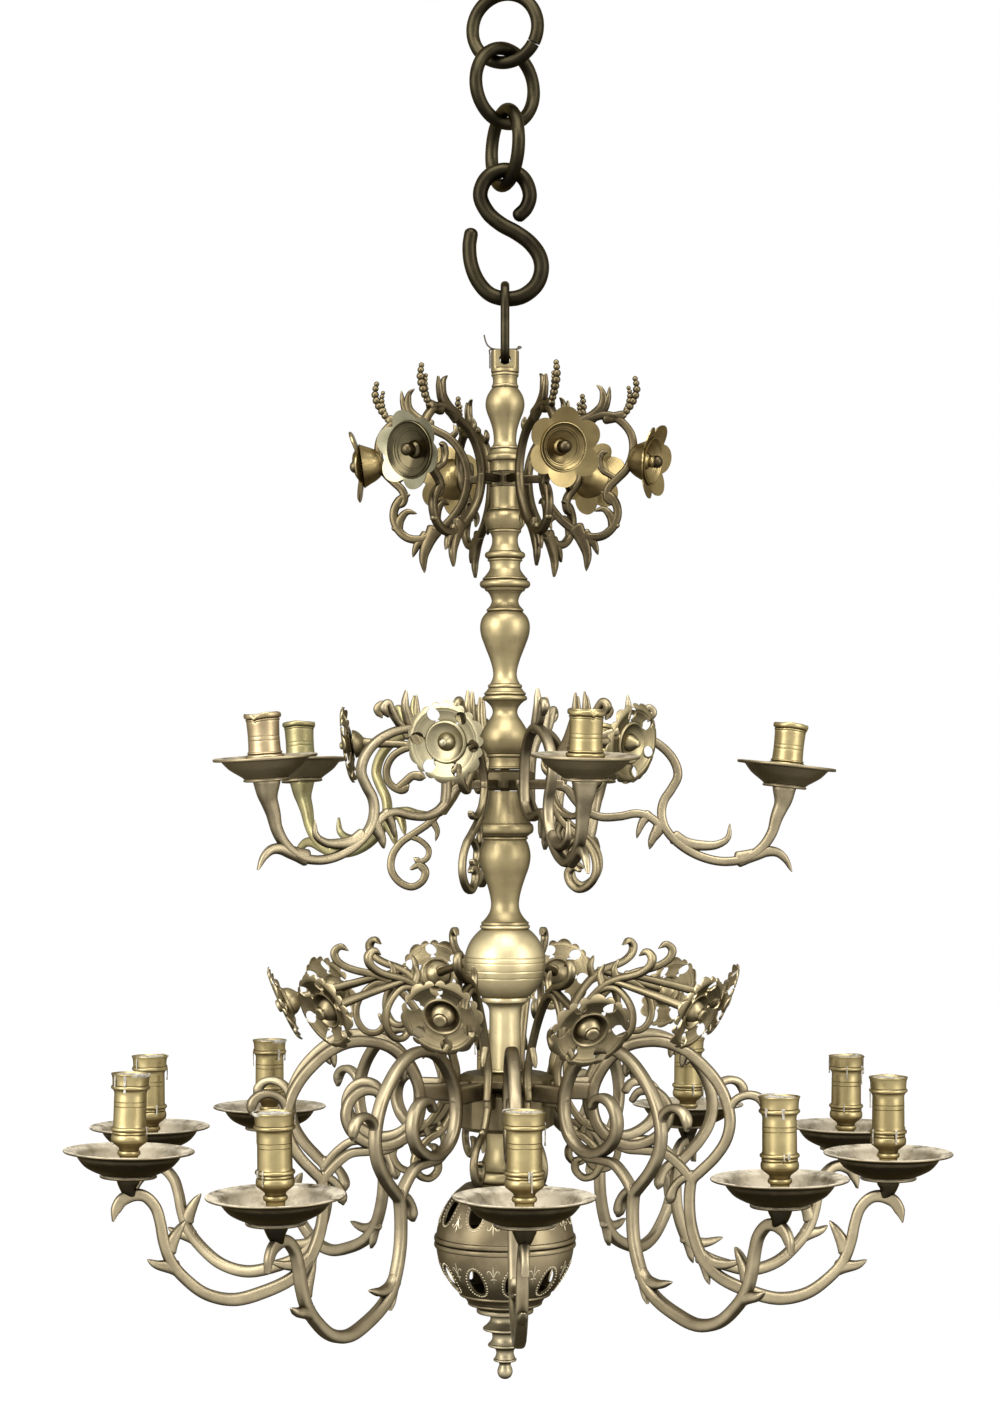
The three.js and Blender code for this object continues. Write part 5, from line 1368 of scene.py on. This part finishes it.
# Each ring's name, its top and foot, and the height and half height of its lugs.
RINGS = [("lower_collar_top", -1232.4, -1249.9, -1244, 5.6),
         ("lower_collar_base", -1250.5, -1297.0, -1259.4, 8.6)]
for name, ring_top, ring_foot, _, _ in RINGS:
    drum_part = turned(drum(ring_top, ring_foot, 55.8, 47.0, 5.0), 240, 20, math.radians(LOWER_FIRST))
    make(name, drum_part, collar_brass, name + "_with_flowers", 8)
for i, droop in enumerate(LOWER_FLOWER_DROOPS):
    azimuth = LOWER_FLOWER_FIRST + 36 * i
    name, _, _, lug, lug_half = RINGS[i % 2]
    lug_bar = bar([(55, lug), (63, lug), (74, lug)], lug_half, 4.6, 3, 16, 7)
    branch = [aimed(lug_bar, azimuth), *stood(lower_branch, azimuth, droop, LOWER_BRANCH_ROOT)]
    flower = flower_at(rosette(DEEP_HUB, DOME_KNOB, 30 + 17 * i), *LOWER_FLOWER)
    make(f"lower_branch_{i + 1}", branch, branch_brass, name + "_with_flowers")
    make(f"lower_flower_{i + 1}", stood(flower, azimuth, droop, LOWER_BRANCH_ROOT), rosette_brass,
         name + "_with_flowers", 50)

# %% [markdown]
# ## Lower arms
# A lower arm is a heavy scroll that arches out of its seat, sweeps down in a bow and hooks up under the
# pan. It was cast flat and its edges were filed round, so the bar's softened rectangle is its own section.
# A Bezier curve could draw its line. Points in millimetres are plainer to write, and the smooth line
# passes through every one of them.

# %% Lower arms
LOWER_AZIMUTHS = [2.5, 39.7, 74.5, 110.5, 147.6, 182.5, 222.8, 254.5, 292.0, 328.0]
LOWER_DROOPS = [0, -0.6, 0, 0.6, 0.4, 0, 0, 0, -1.5, 1.5]
LOWER_TIER = -1250.2
LOWER_ROOT = (106, LOWER_TIER)
main_scroll = [
    (150, -1259), (157, -1250), (173, -1248), (187, -1258), (192, -1275), (185, -1293), (168, -1306),
    (149, -1311), (128, -1306), (112, -1293), (104, -1272), (105, -1247), (118, -1221), (139, -1201),
    (164, -1193), (190, -1193.5), (213, -1203), (233, -1219), (249, -1238), (259, -1259), (262.5, -1280),
    (258, -1301), (245, -1321), (228, -1338), (219, -1347), (216.5, -1359), (216, -1376), (218, -1398),
    (225, -1422), (235, -1441), (252, -1456), (283, -1469), (317, -1476), (349, -1468.5), (374, -1450),
    (390, -1431), (398.5, -1409), (403, -1388), (409, -1371), (421, -1359), (433, -1357), (446, -1362),
    (453, -1373), (456, -1385)]
# The main scroll with its second member, its leaf tips and the hook under the pan.
lower_arm = [
    tenon(56.6, 106, 20, 12, LOWER_TIER),
    bar(main_scroll, [(0, 4.0), (0.03, 6.0), (0.1, 6.4), (0.6, 6.3), (0.74, 7.4), (0.84, 6.4), (0.91, 6.0),
                      (0.945, 6.4), (0.968, 7.4), (0.986, 6.0), (1, 0.6)],
        [(0, 6.0), (0.05, 7.2), (0.4, 7.0), (0.6, 6.6), (0.9, 6.6), (1, 4.0)], 3.0, 16, 3.1),
    bar([(126, -1309), (143, -1315), (164, -1316), (186, -1318), (200, -1327), (212, -1339), (219, -1349)],
        [(0, 3.6), (0.2, 5.0), (1, 5.2)], [(0, 5), (0.2, 6.4), (1, 6.8)], 2.2, 14, 3.4),
    curl([(261, -1272), (264, -1262), (271, -1254), (283, -1249.5), (295, -1252), (302, -1260), (303, -1272)],
         5.0, 6.2),
    curl([(219, -1341), (206, -1348), (197, -1359), (193, -1375)], 5.2, 6.4),
    leaf_tip([(229, -1433), (240, -1439.5), (256, -1441), (277, -1436)], 5.6, 5.8),
    leaf_tip([(230, -1432), (234, -1444), (236, -1455), (239, -1464)], 5.0, 5.8),
    leaf_tip([(393, -1418), (387, -1405), (381, -1395), (375, -1387)], 5.8, 5.8),
    leaf_tip([(385, -1438), (396, -1436), (406, -1434), (416, -1428.5)], 5.6, 5.8),
    leaf_tip([(213, -1201), (209, -1210), (207, -1221)], 4.2, 5.4),
    leaf_tip([(221, -1208), (215, -1213), (212, -1218)], 3.0, 4.6),
]
socket = [bar([(434, -1359), (439, -1350), (440, -1338.6)], [(0, 4.6), (0.4, 8.6), (0.75, 12.0), (1, 13.4)],
              None, 1.2, 24, 2.0)]
for i, (azimuth, droop) in enumerate(zip(LOWER_AZIMUTHS, LOWER_DROOPS)):
    for name, parts, finish in (("arm_cast", lower_arm, arm_brass), ("socket", socket, chain_bronze_and_shade)):
        make(f"lower_{name}_{i + 1}", stood(parts, azimuth, droop, LOWER_ROOT), finish, f"lower_arm_{i + 1}")

# %% [markdown]
# ## Middle arms
# A middle arm is shorter: its main strand bows outwards, swings down and ends in a trumpet that carries
# the pan. The trumpet could be turned as a piece of its own, but the real arm is one casting, so the bar
# itself widens to its end.

# %% Middle arms
MIDDLE_AZIMUTHS = [15, 87, 159, 231, 306.5]
MIDDLE_DROOPS = [0, 1.6, 0, 0, 0]
MIDDLE_ROOT = (66, MIDDLE_TIER)
MIDDLE_REACH, MIDDLE_RIM, MIDDLE_LEAN = 322, -871.1, 4.5


def under_pan(below):
    """A point of the leaning pan's axis, so far below its rim."""
    return MIDDLE_REACH - below * math.tan(math.radians(MIDDLE_LEAN)), MIDDLE_RIM - below


# The main strand with its trumpet, the lower member and the leaf tips.
middle_arm = [
    tenon(34.4, 66, 11, 10, MIDDLE_TIER),
    bar([(92, -934), (85, -922), (82.5, -906), (84, -886), (90, -865), (106, -847), (120, -840.5),
         (133, -838.5), (156, -843), (178, -854), (193, -870), (198, -887), (191, -903), (183, -916),
         (180.5, -930), (185, -947), (200, -964), (224, -978), (251, -984), (277, -980), (296, -967),
         (307, -950), (312, -932), under_pan(42), under_pan(27)],
        [(0, 3.2), (0.04, 5.2), (0.82, 5.4), (0.9, 6.2), (0.955, 8.6), (1, 13.6)],
        [(0, 4.0), (0.04, 5.8), (0.82, 5.8), (0.9, 6.4), (0.955, 8.6), (1, 13.6)], 2.6, 16, 3.0),
    bar([(61, -903), (71, -906), (80, -917), (93, -930), (111, -937), (132, -936), (152, -932), (166, -935),
         (175, -941), (182, -949)], [(0, 4.6), (0.1, 5.0), (1, 5.0)], [(0, 4.6), (0.1, 5.2), (1, 5.4)],
        2.0, 14, 3.2),
    leaf_tip([(181, -943), (176, -952), (171, -961), (168, -972)], 5.8, 5.2),
    leaf_tip([(166, -933), (160, -940), (156, -949), (153, -960)], 4.2, 4.8),
    leaf_tip([(196, -958), (210, -964.5), (226, -966.5), (245, -965), (257, -957), (259, -941)], 5.4, 5.0),
    leaf_tip([(270, -981), (289, -975), (302, -971), (314, -972), (323, -979), (331, -993)], 6.0, 5.2),
    leaf_tip([(128, -841), (134, -828), (139, -814), (138, -796)], 5.0, 5.0),
    curl([(138, -840), (148, -832), (156, -820), (162, -810), (168, -815), (162, -826)], 3.8, 4.4),
]
for i, (azimuth, droop) in enumerate(zip(MIDDLE_AZIMUTHS, MIDDLE_DROOPS)):
    make(f"middle_arm_cast_{i + 1}", stood(middle_arm, azimuth, droop, MIDDLE_ROOT),
         green_brass if i == 3 else arm_brass, f"middle_arm_{i + 1}")

# %% [markdown]
# ## Old wax
# Wax has filled the lower cups nearly to the lip and run over on one side. It could be sculpted, but ten
# crusts have to differ from one another. So a crust is rings whose height follows a few waves that start
# by chance, and its runs are short bars at chance places.

# %% Wax
CUP_MOUTH, CUP_SIDE, LIP_SIDE = 18.6, 20.3, 21.2
DRIPS, DRIP_TOPS = 6, [1, 12, 58]


def wax_crust(top, inside, outside, seed, columns=64):
    """Old wax that fills a cup's mouth just under the lip, and has run over it on one side: where the
    cosine of the angle from that side is high, the outer rings climb the lip and spread."""
    angle = full_turn(columns)
    phases = np.random.default_rng(seed).uniform(0, 2 * math.pi, 4)
    lumps = sum(a * np.sin(k * angle + p) for k, a, p in zip((2, 3, 5, 9), (0.3, 0.3, 0.2, 0.14), phases))
    over = np.clip(1.8 * np.cos(angle - phases[0]) - 0.7, 0, 1)
    rings = [(1.0, top - 4.4 + 0.6 * lumps), (inside * 0.35, top - 4.0 + 1.4 * lumps),
             (inside * 0.7, top - 3.0 + 1.2 * lumps), (inside, top - 1.9 + 1.0 * lumps)]
    for spread, climb in ((0.45, 1.6), (0.8, 2.2), (1.0, 1.4), (0.9, -0.4)):
        dip = 0.5 * (1 - over) if climb < 1.5 else 0
        rings.append((inside + 0.5 + over * spread * (outside + 0.8 - inside) + 0.2 * lumps,
                      top - 1.6 + over * climb * 1.1 + 0.4 * lumps - dip))
    rings.append((inside - 1.0, top - 6.0))
    return skin(np.stack([np.column_stack([r * np.cos(angle), r * np.sin(angle), z + np.zeros(columns)])
                          for r, z in rings]))


def wax_drip(azimuth, top, length, thick):
    """A run of wax down the outside of a cup, with a drop at its foot."""
    line = [(CUP_SIDE, top), (CUP_SIDE + 0.4, top - length * 0.4), (CUP_SIDE + 0.2, top - length)]
    drip = bar(line, [(0, 0.9), (0.8, 0.7), (1, 1.1)], [(0, thick * 1.2), (0.8, thick * 0.7), (1, thick)],
               1.2, 8, 2.0)
    return aimed(drip, azimuth)


def cup_wax(top, seed, chance):
    """The crust of one cup with its runs, at chance places, heights, lengths and widths."""
    crust = wax_crust(top, CUP_MOUTH, LIP_SIDE, seed)
    return [crust, *(wax_drip(chance.uniform(0, 360), top - chance.choice(DRIP_TOPS), chance.uniform(5, 22),
                              chance.uniform(0.7, 1.9)) for _ in range(DRIPS))]


wax = bpy.data.materials.new("old_wax")
wax.use_nodes = True
tree = wax.node_tree
wax_shader = tree.nodes["Principled BSDF"].inputs
where = add_node(tree, "ShaderNodeTexCoord").outputs["Object"]
wax_tone = ramp(tree, noise(tree, where, 260, 4, 0.6), 0.35, 0.65)
tree.links.new(mixed(tree, wax_tone, colour(150, 140, 122), colour(226, 221, 208)), wax_shader["Base Color"])
wax_shader["Roughness"].default_value = 0.5
wax_bump = add_node(tree, "ShaderNodeBump", {"Height": noise(tree, where, 600, 4, 0.6), "Strength": 0.4,
                                             "Distance": 0.001})
tree.links.new(wax_bump.outputs[0], wax_shader["Normal"])
print("wax ready")

# %% [markdown]
# ## Lower pans and cups
# Each pan is a spun dish with a broad lip, and its turned cup screws through it. Both are profiles carried
# round an axis, which is how they were made. They stay two objects, because dust lies on the pan alone.

# %% Lower pans and cups
LOWER_REACH, LOWER_RIM = 440, -1308.7
LOWER_PAN_PROFILE = [
    [(-29.6, 6), (-29.6, 28.6)], bead(-29.5, -26.0, 29.4, 31.2),
    run([(-25.8, 29.4), (-24.6, 33), (-21.6, 40), (-16.8, 48), (-9.6, 54.4), (-4.0, 58.0), (-2.6, 61)]),
    [(-2.2, 64), (-2.0, 68.6)], bead(-2.0, 0.9, 69.6, 71.4), [(0.8, 68.8)],
    run([(-0.2, 67.4), (-0.7, 63), (-1.4, 59.8), (-3.2, 57.4), (-8.4, 53.6), (-15.2, 46.8), (-19.0, 38),
         (-19.9, 30), (-20.0, 20)]), [(-20.0, 8)],
]
CUP_TOP = 84.5
lower_cup_runs = [
    [(CUP_TOP - 9, 12.0), (CUP_TOP - 9, 17.4), (CUP_TOP - 1.2, 19.0), (CUP_TOP, 20.2), (CUP_TOP - 0.2, 21.4)],
    run([(CUP_TOP - 0.9, 21.7), (CUP_TOP - 3, 20.7), (CUP_TOP - 7, 20.0), (CUP_TOP - 12.6, 19.8)]),
    bead(CUP_TOP - 12.8, CUP_TOP - 17.8, 18.8, 21.4),
    run([(CUP_TOP - 18, 19.2), (CUP_TOP - 20.5, 17.8), (CUP_TOP - 30, 17.8)]),
    [(CUP_TOP - 30.4, 17.8), (CUP_TOP - 30.9, 17.3), (CUP_TOP - 31.4, 17.8), (CUP_TOP - 35.4, 17.8),
     (CUP_TOP - 35.9, 17.3), (CUP_TOP - 36.4, 17.8)],
    run([(CUP_TOP - 37, 17.8), (CUP_TOP - 56, 17.9)]), bead(CUP_TOP - 58.2, CUP_TOP - 63.2, 18.2, 20.6),
    [(CUP_TOP - 65, 19.0)], bead(CUP_TOP - 66.4, CUP_TOP - 75.4, 18.2, 19.8),
    run([(CUP_TOP - 75.8, 17.8), (CUP_TOP - 78.6, 14.4), (CUP_TOP - 81, 11.4)]),
    bead(CUP_TOP - 83.8, CUP_TOP - 89.8, 10.4, 12.6),
    run([(CUP_TOP - 90.4, 10.0), (CUP_TOP - 96, 9.6), (CUP_TOP - 101, 9.8), (CUP_TOP - 104.5, 11.2)]),
]
lower_pan = turned(LOWER_PAN_PROFILE, 72)
lower_cup = turned(lower_cup_runs, 48)
chance = np.random.default_rng(7)
for i, (azimuth, droop) in enumerate(zip(LOWER_AZIMUTHS, LOWER_DROOPS)):
    for name, parts, finish, crisp in [
            ("drip_pan", [lower_pan], pan_brass, 35), ("cup", [lower_cup], cup_brass, 35),
            ("wax", cup_wax(CUP_TOP, i, chance), wax, 60)]:
        on_arm = [moved(part, LOWER_REACH, 0, LOWER_RIM) for part in parts]
        make(f"lower_{name}_{i + 1}", stood(on_arm, azimuth, droop, LOWER_ROOT), finish, f"lower_pan_{i + 1}",
             crisp)

# %% [markdown]
# ## Middle pans and cups
# The middle cups are plain tubes whose rims are torn and worn, on pans that lean with their trumpets.
# Proportional editing could dent a rim by hand. Here slow waves and a notch do it, from a seed for each
# cup, so that no two are alike.

# %% Middle pans and cups
MIDDLE_PAN_PROFILE = [
    [(-26.6, 6), (-26.6, 23.8)], bead(-26.5, -23.6, 24.0, 25.2),
    run([(-23.4, 24.0), (-20.6, 27.6), (-16.4, 34), (-12.0, 40), (-7, 44.6), (-3.6, 47.4)]),
    [(-3.2, 48.2), (-2.9, 55)], bead(-2.8, 0.6, 55.6, 56.7), [(0.5, 55.0)],
    run([(-0.4, 53), (-1.0, 48), (-2.4, 45), (-6.4, 41.6), (-10.4, 36), (-12, 30), (-12.2, 22)]),
    [(-12.2, 8)],
]
MIDDLE_CUP_TOP, DENT_FOOT = 47.0, 24
NOTCH_DEPTH, NOTCH_WIDTH = 2.6, 0.1
middle_cup_runs = [
    [(-12.2, 19.4), (-2.6, 19.4)], bead(-2.4, 2.6, 18.8, 20.8), bead(2.9, 5.4, 17.8, 19.0),
    run([(5.8, 17.7), (10, 17.4), (17, 17.2)], 2.0),
    [(17.4, 17.0), (17.9, 17.2), (21.4, 17.2), (21.9, 17.0), (22.4, 17.2)],
    run([(24, 17.2), (30, 17.4), (MIDDLE_CUP_TOP - 9, 17.8)], 2.0),
    bead(MIDDLE_CUP_TOP - 8.6, MIDDLE_CUP_TOP - 6.4, 17.6, 18.5), [(MIDDLE_CUP_TOP - 6.0, 18.0)],
    bead(MIDDLE_CUP_TOP - 5.6, MIDDLE_CUP_TOP, 18.6, 20.2),
    [(MIDDLE_CUP_TOP - 0.4, 17.2), (MIDDLE_CUP_TOP - 3, 16.4), (20, 15.4)]]


def middle_cup(seed, columns=96):
    """A tube with two base rings and a rolled lip. What lies above half its height follows the dented rim:
    slow waves and one narrow notch, in proportion to its height."""
    angle = full_turn(columns)
    phases = np.random.default_rng(seed).uniform(0, 2 * math.pi, 4)
    dent = sum(a * np.sin(k * angle + p) for k, a, p in zip((1, 3, 7), (0.7, 0.5, 0.25), phases))
    dent -= NOTCH_DEPTH * np.exp(-(from_nearest(angle - phases[3], 2 * math.pi) / NOTCH_WIDTH) ** 2)
    height, radius = np.vstack(middle_cup_runs).T[:, :, None]
    share = np.clip((height - DENT_FOOT) / (MIDDLE_CUP_TOP - DENT_FOOT), 0, 1)
    radius = radius * (1 + 0.012 * share * np.sin(2 * angle + phases[1]))
    return skin(np.stack([radius * np.cos(angle), radius * np.sin(angle), height + share * dent], axis=2))


middle_pan = turned(MIDDLE_PAN_PROFILE, 72)
cup_finishes = [cup_brass, cup_brass, cup_brass, green_brass, pink_brass]
for i, (azimuth, droop) in enumerate(zip(MIDDLE_AZIMUTHS, MIDDLE_DROOPS)):
    for name, part, finish in [
            ("drip_pan", middle_pan, middle_pan_brass), ("cup", middle_cup(i), cup_finishes[i])]:
        leaning = tilted(moved(part, MIDDLE_REACH, 0, MIDDLE_RIM), MIDDLE_LEAN, MIDDLE_REACH, MIDDLE_RIM)
        make(f"middle_{name}_{i + 1}", stood([leaning], azimuth, droop, MIDDLE_ROOT), finish,
             f"middle_pan_{i + 1}", 35)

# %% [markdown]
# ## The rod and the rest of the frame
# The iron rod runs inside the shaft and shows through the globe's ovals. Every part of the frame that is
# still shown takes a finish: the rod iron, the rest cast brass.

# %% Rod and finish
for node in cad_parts.values():
    if not node.hide_render:
        node.data.materials.clear()
        node.data.materials.append(iron if node.name == "tie_rod" else arm_brass)
